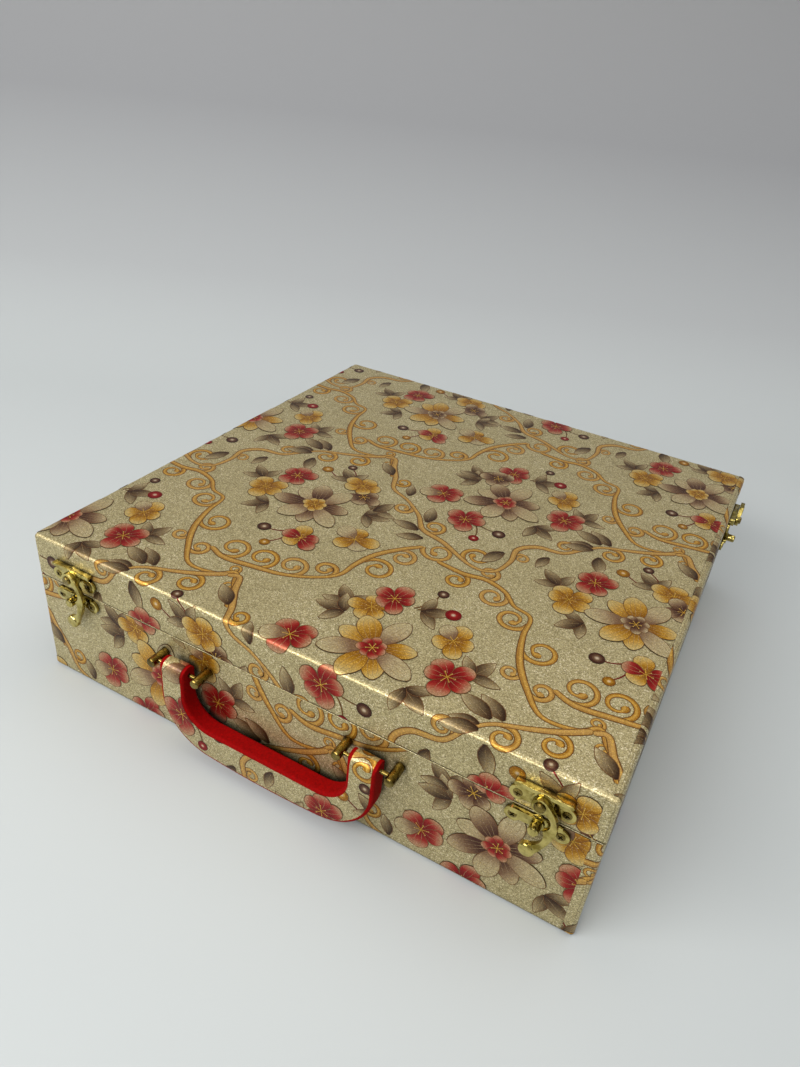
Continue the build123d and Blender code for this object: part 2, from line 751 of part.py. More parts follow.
with BuildPart() as handle_posts:
    with BuildSketch(front_face):
        with Locations(*post_points):
            Circle(post_diameter / 2)
    extrude(amount=post_length)
    chamfer(handle_posts.faces().sort_by(Axis.Y)[:len(post_points)].edges(), length=post_diameter * 0.1)
    with BuildSketch(front_face):
        with Locations(*post_points):
            Circle(post_shank_diameter / 2)
    extrude(amount=-wall_depth)
    with BuildSketch(Plane.YZ):
        with Locations((pivot_y, pivot_height)):
            Circle(pin_radius + fit_gap)
    extrude(amount=box_width / 2, both=True, mode=Mode.SUBTRACT)
save(handle_posts, "handle_posts")

with BuildPart() as handle_post_nuts:
    with BuildSketch(face_plane(front_face, 0, 0, -wall_depth)):
        with Locations(*post_points):
            RegularPolygon(nut_width / 2 - fit_gap, 6, major_radius=False)
        with Locations(*post_points):
            Circle(post_shank_diameter / 2 + fit_gap, mode=Mode.SUBTRACT)
    extrude(amount=nut_height)
save(handle_post_nuts, "handle_post_nuts")

pin_half_length = post_reach + post_diameter / 2 - pin_end_inset
with BuildPart() as handle_pins:
    for leg in leg_places:
        with BuildSketch(Plane.YZ.offset(leg)):
            with Locations((pivot_y, pivot_height)):
                Circle(pin_radius)
        extrude(amount=pin_half_length, both=True)
save(handle_pins, "handle_pins")


# Back hinges: butt hinges screwed on the outside of the back walls, one knuckle line at the seam
segment_width = hinge_width / knuckle_count
knuckle_axis_depth = hinge_axis_y - box_depth / 2


def build_leaf(up, bore_radius, first_segment):
    """The leaves of both hinges on one side of the seam; up is 1 for the lid and -1 for the base."""
    near = up * (knuckle_radius + knuckle_clearance)
    far = up * leaf_height
    with BuildPart() as leaf:
        for center in hinge_places:
            seat = face_plane(back_face, center, seam_height)
            with BuildSketch(seat):
                with Locations((0, (near + far) / 2)):
                    RectangleRounded(hinge_width, abs(far - near), 1.2)
            extrude(amount=leaf_thickness)
            for segment in range(first_segment, knuckle_count, 2):
                across = (segment - (knuckle_count - 1) / 2) * segment_width
                width = segment_width - knuckle_gap
                with BuildSketch(seat):
                    with Locations((across, near * 0.75)):
                        Rectangle(width, abs(near) * 1.5)
                extrude(amount=leaf_thickness)
                middle_x = -(center + across)
                with BuildSketch(Plane.YZ.offset(middle_x)):
                    with Locations((hinge_axis_y, seam_height)):
                        Circle(knuckle_radius)
                extrude(amount=width / 2, both=True)
        with BuildSketch(Plane.YZ):
            with Locations((hinge_axis_y, seam_height)):
                Circle(bore_radius)
        extrude(amount=box_width / 2, both=True, mode=Mode.SUBTRACT)
        screws = hinge_screw_points["lid" if up > 0 else "base"]
        countersink(back_face, screws, leaf_thickness)
    return leaf


save(build_leaf(-1, hinge_pin_radius, 0), "hinge_base_leaves")
save(build_leaf(1, hinge_pin_radius + fit_gap, 1), "hinge_lid_leaves")

with BuildPart() as hinge_pins:
    for center in hinge_places:
        with BuildSketch(Plane.YZ.offset(center)):
            with Locations((hinge_axis_y, seam_height)):
                Circle(hinge_pin_radius)
        extrude(amount=hinge_width / 2 + hinge_pin_overhang, both=True)
save(hinge_pins, "hinge_pins")

for group in ("base", "lid"):
    with BuildPart() as hinge_screws:
        screw(back_face, hinge_screw_points[group], leaf_thickness)
    save(hinge_screws, f"hinge_{group}_screws")
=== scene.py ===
# Bangle box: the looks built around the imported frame
import math
import bpy
import numpy as np
from mathutils import Matrix, Vector


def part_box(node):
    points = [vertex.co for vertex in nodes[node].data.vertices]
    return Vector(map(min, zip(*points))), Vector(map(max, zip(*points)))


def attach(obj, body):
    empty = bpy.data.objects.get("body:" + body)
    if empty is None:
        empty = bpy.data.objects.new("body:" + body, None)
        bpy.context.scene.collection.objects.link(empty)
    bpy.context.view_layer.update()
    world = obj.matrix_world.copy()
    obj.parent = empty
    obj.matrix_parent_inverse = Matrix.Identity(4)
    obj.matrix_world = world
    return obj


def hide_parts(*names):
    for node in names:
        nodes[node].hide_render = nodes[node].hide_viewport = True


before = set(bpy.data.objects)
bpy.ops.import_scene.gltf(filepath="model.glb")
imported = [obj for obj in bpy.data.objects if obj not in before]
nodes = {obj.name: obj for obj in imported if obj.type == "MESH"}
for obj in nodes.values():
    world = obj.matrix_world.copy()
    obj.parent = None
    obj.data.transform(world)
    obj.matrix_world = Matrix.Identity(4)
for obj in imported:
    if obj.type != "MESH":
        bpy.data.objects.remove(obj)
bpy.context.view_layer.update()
bpy.ops.object.select_all(action="DESELECT")
print("frame loaded:", len(nodes), "nodes")

# Sizes of the box, read from the frame, in metres
boxLow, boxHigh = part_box("lid_cover")
trayLow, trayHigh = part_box("base_cover")
halfWidth, halfDepth = boxHigh.x, boxHigh.y
boxTop, lidBottom, trayTop = boxHigh.z, boxLow.z, trayHigh.z
edgeRadius = 0.0022  # at the top edges of the lid
cornerRadius = 0.0015  # at the upright corners of the tray
mm = 1000


# Shared helpers

def srgb(red, green, blue, cover=1.0):
    return tuple((c / 255) ** 2.2 for c in (red, green, blue)) + (cover,)


def grey(value):
    return (value, value, value, 1.0)


def newObject(name, data):
    thing = bpy.data.objects.new(name, data)
    bpy.context.collection.objects.link(thing)
    return thing


def joinPieces(pieces, name):
    for piece in pieces:
        piece.select_set(True)
    bpy.context.view_layer.objects.active = pieces[0]
    bpy.ops.object.join()
    joined = bpy.context.active_object
    joined.name = joined.data.name = name
    joined.select_set(False)
    return joined


def faceOutwards():
    bpy.ops.mesh.select_all(action="SELECT")
    bpy.ops.mesh.normals_make_consistent(inside=False)
    bpy.ops.object.mode_set(mode="OBJECT")


def paint(thing, material):
    thing.data.materials.clear()
    thing.data.materials.append(material)


def newMaterial(name, color, metallic, roughness, sockets=None):
    material = bpy.data.materials.new(name)
    material.use_nodes = True
    shader = material.node_tree.nodes["Principled BSDF"]
    plain = {"Base Color": color, "Metallic": metallic, "Roughness": roughness}
    for socket, value in {**plain, **(sockets or {})}.items():
        shader.inputs[socket].default_value = value
    return material, shader


def addNode(owner, kind, **values):  # a value goes to the node's setting of that name, or else to its socket
    node = owner.node_tree.nodes.new(kind)
    for key, value in values.items():
        if hasattr(node, key):
            setattr(node, key, value)
        else:
            node.inputs[key].default_value = value
    return node


def link(owner, output, target):
    owner.node_tree.links.new(output, target)


def feed(owner, socket, value):
    if isinstance(value, bpy.types.NodeSocket):
        link(owner, value, socket)
    else:
        socket.default_value = value


def objectCoords(material):
    return addNode(material, "ShaderNodeTexCoord").outputs["Object"]


def noiseTexture(material, coords, scale, detail, rough):
    texture = addNode(material, "ShaderNodeTexNoise", Scale=scale, Detail=detail, Roughness=rough)
    link(material, coords, texture.inputs["Vector"])
    return texture.outputs["Fac"]


def ramp(owner, source, stops):
    node = addNode(owner, "ShaderNodeValToRGB")
    elements = node.color_ramp.elements
    while len(elements) < len(stops):
        elements.new(0.5)
    for element, (position, color) in zip(elements, stops):
        element.position = position
        element.color = color
    link(owner, source, node.inputs["Fac"])
    return node.outputs["Color"]


def mathNode(material, operation, first, second):
    node = addNode(material, "ShaderNodeMath", operation=operation)
    for socket, value in zip(node.inputs, (first, second)):
        feed(material, socket, value)
    return node.outputs[0]


def mix(material, factor, first, second, kind="RGBA", blend="MIX"):
    node = addNode(material, "ShaderNodeMix", data_type=kind, blend_type=blend)
    start, output = {"FLOAT": (2, 0), "RGBA": (6, 2)}[kind]  # the sockets that belong to this kind
    feed(material, node.inputs["Factor"], factor)
    feed(material, node.inputs[start], first)
    feed(material, node.inputs[start + 1], second)
    return node.outputs[output]


def addBump(material, shader, height, distance, strength):
    bump = addNode(material, "ShaderNodeBump", Distance=distance, Strength=strength)
    link(material, height, bump.inputs["Height"])
    link(material, bump.outputs["Normal"], shader.inputs["Normal"])


def paintedShade(material, color, look):  # painted shade: ambient occlusion darkens the colour in narrow corners, gaps and recesses
    shadow = addNode(material, "ShaderNodeAmbientOcclusion", samples=6, Distance=look["depth"])
    clear = look["clear"]
    tone = ramp(material, shadow.outputs["AO"], [(clear - 0.5, grey(look["dark"])), (clear, grey(1.0))])
    return mix(material, 1.0, color, tone, blend="MULTIPLY")


# Printed leatherette: champagne metallic skin with a fine glitter grain, and the ink laid on it
leatherLook = {
    "deep": srgb(132, 120, 82),
    "pale": srgb(200, 186, 140),
    "spark": srgb(252, 244, 216),
    # painted shade in the lid-to-tray gap and beside fittings: how far it reaches, its darkest tone, and where it
    # clears
    "paintedShade": {"depth": 0.003, "dark": 0.04, "clear": 0.96},
    "foil": srgb(240, 192, 84),  # glints of the golden inks
    "foilGain": 2.6,
    "foilFlakes": (0.8, 0.94),
    "metallic": 0.7,
    "roughness": 0.44,
    "gloss": (0.34, 0.56),  # roughness from flake to flake
    "glitterScale": 2500,
    "glitterShare": 0.8,  # the rest is mottle
    "glitterDepth": 0.00008,
    "glitterStrength": 0.55,
    "mottle": (26, 5.0, 0.6),  # scale, detail and roughness of the noise
    "grainInInk": 0.3,
    "sockets": {"Specular IOR Level": 0.2, "Coat Weight": 0.3, "Coat Roughness": 0.12, "Coat IOR": 1.36},
}


def foilGlitter(material, ink, flakes, color):
    look = leatherLook
    tones = addNode(material, "ShaderNodeSeparateColor")
    link(material, ink, tones.inputs["Color"])
    gold = mathNode(material, "SUBTRACT", tones.outputs["Green"], tones.outputs["Blue"])
    gold = mathNode(material, "MINIMUM", mathNode(material, "MULTIPLY", gold, look["foilGain"]), 1.0)
    flake = ramp(material, flakes, [(look["foilFlakes"][0], grey(0.0)), (look["foilFlakes"][1], grey(1.0))])
    return mix(material, mathNode(material, "MULTIPLY", gold, flake), color, look["foil"])


def makeLeatherette(name, inked):
    look = leatherLook
    material, shader = newMaterial(name, look["pale"], look["metallic"], look["roughness"], look["sockets"])
    coords = objectCoords(material)
    flakes = addNode(material, "ShaderNodeTexVoronoi", Scale=look["glitterScale"])
    link(material, coords, flakes.inputs["Vector"])
    split = addNode(material, "ShaderNodeSeparateColor")
    link(material, flakes.outputs["Color"], split.inputs["Color"])
    mottle = noiseTexture(material, coords, *look["mottle"])
    grain = mix(material, look["glitterShare"], mottle, split.outputs["Red"], "FLOAT")
    leather = ramp(material, grain, [(0.1, look["deep"]), (0.8, look["pale"]), (0.97, look["spark"])])
    color = leather
    if inked:
        ink = addNode(material, "ShaderNodeAttribute", attribute_name="ink")
        shade = mix(material, look["grainInInk"], ink.outputs["Color"], leather, blend="MULTIPLY")
        foiled = foilGlitter(material, ink.outputs["Color"], split.outputs["Blue"], shade)
        color = mix(material, ink.outputs["Alpha"], leather, foiled)
    link(material, paintedShade(material, color, look["paintedShade"]), shader.inputs["Base Color"])
    gloss = ramp(material, split.outputs["Green"], [(0.0, grey(look["gloss"][0])), (1.0, grey(look["gloss"][1]))])
    link(material, gloss, shader.inputs["Roughness"])
    addBump(material, shader, split.outputs["Blue"], look["glitterDepth"], look["glitterStrength"])
    return material


leatherette = makeLeatherette("printed_leatherette_ground", False)
inkedLeatherette = makeLeatherette("printed_leatherette_ink", True)
print("leatherette mixed")

# The print, drawn flat in millimetres: a half-drop floral scroll of bouquets between curling vines
inkColors = {
    "outline": srgb(112, 66, 30, 0.93),
    "vein": srgb(128, 80, 42, 0.55),
    "vine": srgb(172, 118, 28, 0.97),
    "vineEdge": srgb(108, 66, 20, 0.96),
    "vineLight": srgb(212, 164, 72, 0.97),
    "vineFade": srgb(206, 160, 92, 0.75),
    "leafDark": srgb(52, 30, 16, 0.99),
    "leafMid": srgb(106, 78, 50, 0.94),
    "leafPale": srgb(156, 136, 102, 0.62),
    "stem": srgb(118, 6, 10, 0.98),
    "stamen": srgb(226, 184, 70, 1.0),
    "pale": srgb(206, 190, 152, 0.3),
    "white": srgb(244, 230, 204, 0.96),
    "red": srgb(132, 0, 8, 1.0),
    "rose": srgb(172, 22, 24, 0.97),
    "blush": srgb(194, 112, 88, 0.5),
    "gold": srgb(150, 96, 4, 1.0),
    "sand": srgb(198, 144, 24, 0.95),
    "straw": srgb(226, 196, 116, 0.52),
    "mauve": srgb(76, 42, 30, 1.0),
    "plum": srgb(128, 92, 70, 0.93),
    "linen": srgb(192, 166, 132, 0.45),
}
petalInks = {
    "red": ("red", "rose", "blush"),
    "gold": ("gold", "sand", "straw"),
    "mauve": ("mauve", "plum", "linen"),
    "faint": ("plum", "linen", "pale"),
}
# Each kind of element lies in its own thin layer, so that no two coincide; in millimetres
layers = {"step": 0.0045, "curl": 0.018, "vine": 0.050, "stem": 0.0635, "leaf": 0.0725, "berry": 0.150,
          "small": 0.155, "big": 0.255}
sheet = {"points": [], "inks": [], "faces": [], "count": 0, "turn": 0}


def startSheet():
    sheet.update({"points": [], "inks": [], "faces": [], "count": 0})


def layGrid(points, inks):
    rows, columns = points.shape[:2]
    first = sheet["count"]
    index = np.arange(rows * columns).reshape(rows, columns) + first
    quads = np.stack([index[:-1, :-1], index[:-1, 1:], index[1:, 1:], index[1:, :-1]], axis=-1)
    sheet["points"].append(points.reshape(-1, 3))
    sheet["inks"].append(inks.reshape(-1, 4))
    sheet["faces"].append(quads.reshape(-1, 4))
    sheet["count"] += rows * columns


def blend(stops, t):
    places = [stop[0] for stop in stops]
    inks = np.array([inkColors[stop[1]] for stop in stops])
    return np.stack([np.interp(t, places, inks[:, channel]) for channel in range(4)], axis=-1)


def plainInk(name):
    ink = np.array(inkColors[name])
    return [(-1, ink), (1, ink)]


def heading(degrees):
    return np.array([math.cos(math.radians(degrees)), math.sin(math.radians(degrees))])


def ribbon(path, widths, across, height):
    path = np.asarray(path, float)
    widths = np.broadcast_to(np.asarray(widths, float), (len(path),))
    along = np.gradient(path, axis=0)
    along /= np.maximum(np.linalg.norm(along, axis=1, keepdims=True), 1e-9)
    side = np.stack([-along[:, 1], along[:, 0]], axis=1)
    offsets = np.array([stop[0] for stop in across])
    flat = path[:, None, :] + side[:, None, :] * (widths[:, None] * 0.5 * offsets[None, :])[..., None]
    points = np.concatenate([flat, np.full(flat.shape[:2] + (1,), height)], axis=-1)
    inks = np.stack([np.broadcast_to(stop[1], (len(path), 4)) for stop in across], axis=1)
    layGrid(points[:, ::-1], inks[:, ::-1])


# A petal or a leaf: rows along it, and columns across it, of which the outer two at each edge are the outline
bladePlan = {
    "rows": 11,
    "sides": [-1.0, -1.0, -1.0, -0.5, 0.0, 0.5, 1.0, 1.0, 1.0],
    "border": [-0.36, -0.06, 0, 0, 0, 0, 0, 0.06, 0.36],
    "tip": 0.98,
    "stalk": 0.14,
    "veinWidth": 0.17,
    "veinRows": slice(1, 9, 2),
    "veinLift": 0.45,  # of the step between layers
}


def outlineWidth(t, belly, point):
    stalk = bladePlan["stalk"]
    rise = stalk + (1 - stalk) * np.sin(math.pi / 2 * np.clip(t / belly, 0, 1))
    fall = np.maximum(1 - (np.clip(t - belly, 0, 1) / (1 - belly)) ** 2, 0) ** point
    return np.where(t < belly, rise, fall)


def turned(base, turn, x, y):
    return (base[0] + x * math.cos(turn) - y * math.sin(turn), base[1] + x * math.sin(turn) + y * math.cos(turn))


def blade(base, angle, length, width, shape, tones, height, bend=0.0, veins=()):
    plan = bladePlan
    t = np.sin(np.linspace(0.0, math.pi / 2, plan["rows"]))
    s, border = np.array(plan["sides"]), np.array(plan["border"])
    profile = outlineWidth(t, shape[0], shape[1])
    x = (t * length)[:, None] + np.abs(border)[None, :] * (t[:, None] > plan["tip"])
    y = (bend * length * t ** 2)[:, None] + profile[:, None] * s[None, :] * width / 2 + border[None, :]
    turn = math.radians(angle)
    flatX, flatY = turned(base, turn, x, y)
    points = np.stack([flatX, flatY, np.full_like(flatX, height)], axis=-1)
    left, right = blend(tones[0], t)[:, None, :], blend(tones[1], t)[:, None, :]
    across = np.clip((s + 1) / 2, 0, 1)[None, :, None]
    inks = left * (1 - across) + right * across
    inks[:, [0, 1, -2, -1]] = inkColors["outline"]
    layGrid(points[:, ::-1], inks[:, ::-1])
    for place in veins:
        drift = y.mean(axis=1) + profile * place * width / 2
        line = np.stack(turned(base, turn, t * length, drift), axis=1)
        ribbon(line[plan["veinRows"]], plan["veinWidth"], plainInk("vein"),
               height + layers["step"] * plan["veinLift"])


# Round spots: the smallest ones get fewer sides
discPlan = {"radii": [0.02, 0.35, 0.7, 0.92, 1.0], "sides": 18, "dotSides": 9, "dotRadius": 1.0}


def disc(center, radius, stops, height):
    radii = np.array(discPlan["radii"])
    sides = discPlan["sides"] if radius > discPlan["dotRadius"] else discPlan["dotSides"]
    turn = np.linspace(0, 2 * math.pi, sides + 1)
    x = center[0] + radius * radii[:, None] * np.cos(turn)[None, :]
    y = center[1] + radius * radii[:, None] * np.sin(turn)[None, :]
    points = np.stack([x, y, np.full_like(x, height)], axis=-1)
    inks = np.repeat(blend(stops, radii)[:, None, :], len(turn), axis=1)
    layGrid(points[::-1], inks[::-1])


def berry(center, color, radius):
    rim = {"red": "stem", "gold": "vineEdge", "mauve": "leafDark"}[color]
    disc(center, radius, [(0, "white"), (0.26, petalInks[color][1]), (0.7, color), (0.9, color), (1.0, rim)],
         layers["berry"])


def nextLift(kind, places, stride=1):
    sheet["turn"] = sheet["turn"] + 1
    return layers[kind] + layers["step"] * stride * (sheet["turn"] * 5 % places)


def stem(start, end, bow, ink):
    rows, width = 9, 0.9
    start, end = np.array(start, float), np.array(end, float)
    t = np.linspace(0, 1, rows)[:, None]
    across = np.array([-(end - start)[1], (end - start)[0]])
    path = start + (end - start) * t + across * bow * 4 * t * (1 - t)
    ribbon(path, np.linspace(width, width * 0.7, rows), plainInk(ink), nextLift("stem", 2))


def petalTones(color, strength):
    inner, mid, rim = petalInks[color]
    full = [(0, inner), (0.28 + 0.3 * strength, inner), (0.62 + 0.3 * strength, mid), (1.0, rim)]
    soft = [(0, inner), (0.16 + 0.3 * strength, inner), (0.44 + 0.3 * strength, mid), (0.9, rim), (1.0, rim)]
    return full, soft


# Shapes give where a petal is widest and how blunt its tip is
smallPlan = {"petals": 5, "strengths": [0.55, 0.1, 0.4, 0.0, 0.3], "shape": (0.6, 0.46), "veins": (-0.3, 0.35)}
bigPlan = {"petals": 8, "strengths": [0.5, 0.15, 0.35, 0.0], "shape": (0.6, 0.62), "veins": (-0.5, 0.02, 0.46),
           "hearts": 7, "heartShape": (0.6, 0.5)}
stamenPlan = {"count": 6, "width": 0.26, "dot": 0.4, "middle": 0.75}


def smallFlower(center, colors, size, turn):
    plan, step = smallPlan, layers["step"]
    lift = nextLift("small", 3, 7)
    for number in range(plan["petals"]):
        angle = turn + 72 * number + 9 * math.sin(2.3 * number + turn)
        strength = plan["strengths"][(number + int(turn)) % 5]
        length = (9.0 + 1.3 * ((number * 2 + int(turn)) % 3)) * size
        width = (8.6 + 0.9 * (number % 2)) * size
        blade(np.array(center) + 0.7 * size * heading(angle), angle, length, width, plan["shape"],
              petalTones(colors[number % len(colors)], strength), lift + step * (number * 2 % 5),
              0.05 * math.sin(turn + 2 * number), plan["veins"])
    stamens(center, 3.4 * size, turn + 20, lift + step * 5)


def stamens(center, reach, turn, height):
    plan = stamenPlan
    above = height + layers["step"]
    for number in range(plan["count"]):
        aim = heading(turn + 360 / plan["count"] * number)
        start = np.array(center) + 0.6 * aim
        tip = np.array(center) + reach * (0.85 + 0.15 * (number % 2)) * aim
        ribbon([start, (start + tip) / 2, tip], plan["width"], plainInk("stamen"), height)
        disc(tip, plan["dot"], [(0, "white"), (0.5, "stamen"), (1, "gold")], above)
    disc(center, plan["middle"], [(0, "stamen"), (1, "gold")], above)


def bigFlower(center, colors, heart, turn):
    plan, step = bigPlan, layers["step"]
    for number in range(plan["petals"]):
        angle = turn + 45 * number + 5 * math.sin(1.7 * number + turn)
        strength = plan["strengths"][number % 4]
        blade(np.array(center) + 2.0 * heading(angle), angle, 18.0 + 2.4 * (number * 5 % 3), 9.6 + 0.9 * (number % 3),
              plan["shape"], petalTones(colors[number % len(colors)], strength),
              layers["big"] + step * (number * 3 % 8), 0.06 * math.sin(number + turn), plan["veins"])
    for number in range(plan["hearts"]):
        angle = turn + 15 + 360 / plan["hearts"] * number
        blade(center, angle, 6.6 + 0.9 * (number % 2), 5.0, plan["heartShape"], petalTones(heart, 0.5),
              layers["big"] + step * (8 + number))
    stamens(center, 2.9, turn, layers["big"] + step * 15)


leafPlan = {
    "dark": [(0, "leafDark"), (0.4, "leafDark"), (0.75, "leafMid"), (1.0, "leafPale")],
    "pale": [(0, "leafDark"), (0.2, "leafMid"), (0.6, "leafPale"), (1.0, "pale")],
    "plain": [(0, "leafDark"), (0.35, "leafMid"), (0.8, "leafPale"), (1.0, "pale")],
    "shape": (0.44, 0.95),
    "levels": 17,
}


def leaf(base, angle, length, width, bend, light):
    halves = ("dark", "pale") if light > 0.5 else ("pale", "dark") if light < -0.5 else ("plain", "dark")
    tones = [leafPlan[half] for half in halves]
    blade(base, angle, length, width, leafPlan["shape"], tones, nextLift("leaf", leafPlan["levels"]), bend, (0.0,))


def leafSpray(base, angle, scale):
    leaf(base, angle, 18 * scale, 8.2 * scale, 0.1, 0.3)
    leaf(base, angle + 50, 15 * scale, 7.2 * scale, 0.2, 1.0)
    leaf(base, angle - 48, 16 * scale, 7.2 * scale, -0.2, -0.8)


def smoothPath(points, spacing):
    points = np.asarray(points, float)
    padded = np.vstack([2 * points[0] - points[1], points, 2 * points[-1] - points[-2]])
    pieces = []
    for number in range(len(points) - 1):
        p0, p1, p2, p3 = padded[number:number + 4]
        count = max(2, int(np.linalg.norm(p2 - p1) / spacing))
        t = np.linspace(0, 1, count, endpoint=False)[:, None]
        pieces.append(0.5 * (2 * p1 + (p2 - p0) * t + (2 * p0 - 5 * p1 + 4 * p2 - p3) * t ** 2
                             + (3 * p1 - p0 - 3 * p2 + p3) * t ** 3))
    pieces.append(points[-1:])
    return np.vstack(pieces)


# A vine is a band with dark edges and rounded ends; a curl winds inwards from it to a bulb
vinePlan = {"width": 3.7, "spacing": 1.5, "endRows": 9, "thinnest": 0.02}
curlPlan = {"width": 3.0, "spacing": 1.6, "rows": 34, "turns": 1.3, "radii": (3.6, 9.5), "fullRadius": 6,
            "bulb": 1.5, "bulbAt": 0.9}


def vineInks(fade):
    edge = np.array(inkColors["vineEdge"])
    fill = np.array(inkColors["vine"]) * (1 - fade) + np.array(inkColors["vineFade"]) * fade
    light = np.array(inkColors["vineLight"]) * (1 - fade) + np.array(inkColors["vineFade"]) * fade
    return [(-1, edge), (-0.78, edge), (-0.7, fill), (-0.3, fill), (0.0, light), (0.3, light), (0.7, fill),
            (0.78, edge), (1, edge)]


def vine(points, fade, height):
    plan = vinePlan
    path = smoothPath(points, plan["spacing"])
    last, ends = len(path) - 1, plan["endRows"]
    places = np.concatenate([np.linspace(0, 2, ends)[:-1], np.arange(2, last - 2), np.linspace(last - 2, last, ends)])
    path = np.stack([np.interp(places, np.arange(last + 1), path[:, axis]) for axis in (0, 1)], axis=1)
    tip = np.clip(np.minimum(places, last - places) * plan["spacing"] / (plan["width"] / 2), 0, 1)
    wave = (0.86 + 0.2 * np.sin(places * 0.125)) * np.sqrt(1 - (1 - tip) ** 2)
    ribbon(path, plan["width"] * np.maximum(wave, plan["thinnest"]), vineInks(fade), height)


def curl(center, path, sense, fade, height):
    plan = curlPlan
    gaps = path - np.array(center)
    reaches = np.linalg.norm(gaps, axis=1)
    nearest = gaps[reaches.argmin()]
    radius = float(np.clip(reaches.min(), *plan["radii"]))
    start = math.atan2(nearest[1], nearest[0])
    t = np.linspace(0, 1, plan["rows"])
    angle = start + sense * t ** 0.92 * 2 * math.pi * plan["turns"]
    reach = radius * (1 - 0.74 * t ** 0.9)
    path = np.stack([center[0] + reach * np.cos(angle), center[1] + reach * np.sin(angle)], axis=1)
    bulb = np.sqrt(np.clip(1 - ((t - plan["bulbAt"]) / 0.1) ** 2, 0, 1)) * plan["bulb"]
    body = np.interp(t, [0, 0.3, 0.8, plan["bulbAt"], 1], [1.1, 1.0, 0.62, 0.62, 0])
    width = plan["width"] * np.maximum(body, bulb * (t > 0.8)) * min(1.0, radius / plan["fullRadius"])
    ribbon(path, width, vineInks(fade), height)


# One repeat of the print, measured from the heart of the first bouquet
printRepeat = {
    "width": 185.0, "height": 157.0, "origin": (-55.0, -47.5), "second": (88.5, 70.0),
    "columns": range(-12, 13), "rows": range(-4, 5),
    "ahead": (420, 140), "behind": (80, 140),  # how far one repeat reaches
}
vinePaths = [
    (0.15, [(82, -9), (98, -11), (110, -9), (122, -13), (130, -21), (140, -25), (142, -40), (147, -57),
            (156, -72), (167, -84), (182, -83), (190, -77), (195, -84), (201, -92), (204, -101)]),
    (0.45, [(188, 76), (194, 78), (199, 68), (206, 57), (212, 44), (225, 37), (238, 26), (247, 14), (262, 9),
            (283, -2), (295, 0), (299, 14), (298, 27), (306, 36), (320, 39), (329, 50), (337, 58), (351, 64),
            (363, 70), (373, 77)]),
    (0.25, [(-19, -66), (-8, -70), (8, -68), (24, -65), (38, -58), (47, -49), (49, -36), (53, -23), (61, -11),
            (70, -1)]),
]
vineCurls = [
    (97, -18, 0, -1), (118, -20, 0, -1), (133, -31, 0, -1), (153, -46, 0, 1), (146, -66, 0, -1),
    (162, -70, 0, 1), (-9, -60, 2, 1), (8, -59, 2, 1), (24, -56, 2, 1), (39, -49, 2, 1), (60, -34, 2, -1),
    (66, -17, 2, -1), (79, -1, 2, 1), (194, 70, 1, -1), (213, 54, 1, 1), (227, 28, 1, -1), (251, 20, 1, 1),
    (283, 7, 1, -1), (303, 20, 1, -1), (319, 46, 1, 1), (343, 53, 1, -1), (362, 61, 1, -1),
    (109, -3, 0, 1), (188, -75, 0, 1),
]
vineLeaves = [
    (18, 58, 130, 0.9), (38, 42, 100, 0.7), (60, 22, 96, 0.9), (60, 12, 170, 0.9), (66, 6, 195, 0.8),
    (108, 20, 240, 0.9), (130, 30, 250, 0.7), (150, 60, 150, 1.0), (148, 52, 190, 0.9), (153, 47, 280, 0.9),
    (-30, 62, 140, 0.9), (-38, 55, 185, 0.7),
]


# Where there are two lots of colours, one repeat takes the first and the next takes the second
bouquets = [
    {
        "stemInk": "stem",
        "stems": [((2, -32), (-8, -35), 0.1), ((6, -34), (0, -46), 0.1), ((4, 32), (-6, 50), -0.15),
                  ((0, 34), (-15, 40), 0.1)],
        "sprays": [(28, 8, 5), (-22, -14, 215), (-42, 8, 130), (30, 14, 60), (2, 36, 130)],
        "sprayScale": 0.82,
        "berries": [(-9, -35, "mauve", 3.8), (0, -47, "gold", 3.0), (-6, 51, "mauve", 3.0), (-17, 40, "gold", 3.6)],
        "big": ((["mauve", "faint"], "gold"), (["gold", "faint", "gold"], "mauve")),
        "bigTurn": 12,
        "small": [(-27, 22, ["red"], 1.0, 20), (-34, 0, ["gold"], 1.05, 50), (11, 35, ["gold"], 1.0, 10),
                  (18, 24, ["mauve"], 0.92, 60), (37, -17, ["gold", "faint"], 1.12, 90),
                  (13, -33, ["red", "gold"], 1.0, 30)],
    },
    {
        "stemInk": "vineEdge",
        "stems": [((-8, -30), (9, -34), -0.1), ((-6, -32), (0, -46), 0.1), ((4, 36), (18, 42), 0.1),
                  ((2, 36), (8, 53), -0.1)],
        "sprays": [(-24, 15, 175), (24, -14, 320), (44, 8, 60), (6, 36, 20), (-26, 20, 120)],
        "sprayScale": 0.85,
        "berries": [(10, -35, "mauve", 3.8), (0, -47, "red", 3.0), (20, 42, "red", 4.0), (9, 54, "mauve", 3.0)],
        "big": ((["mauve", "faint"], "red"), (["gold", "faint", "gold"], "red")),
        "bigTurn": 30,
        "small": [(-9, 37, ["red"], 0.98, 15), (-15, 25, (["mauve"], ["gold"]), 0.95, 40),
                  (28, 25, ["gold", "gold", "faint"], 1.0, 0), (36, 2, ["red"], 1.05, 50),
                  (-35, -13, ["red", "red", "faint"], 1.12, 55), (-12, -32, ["red"], 1.05, 80)],
    },
]


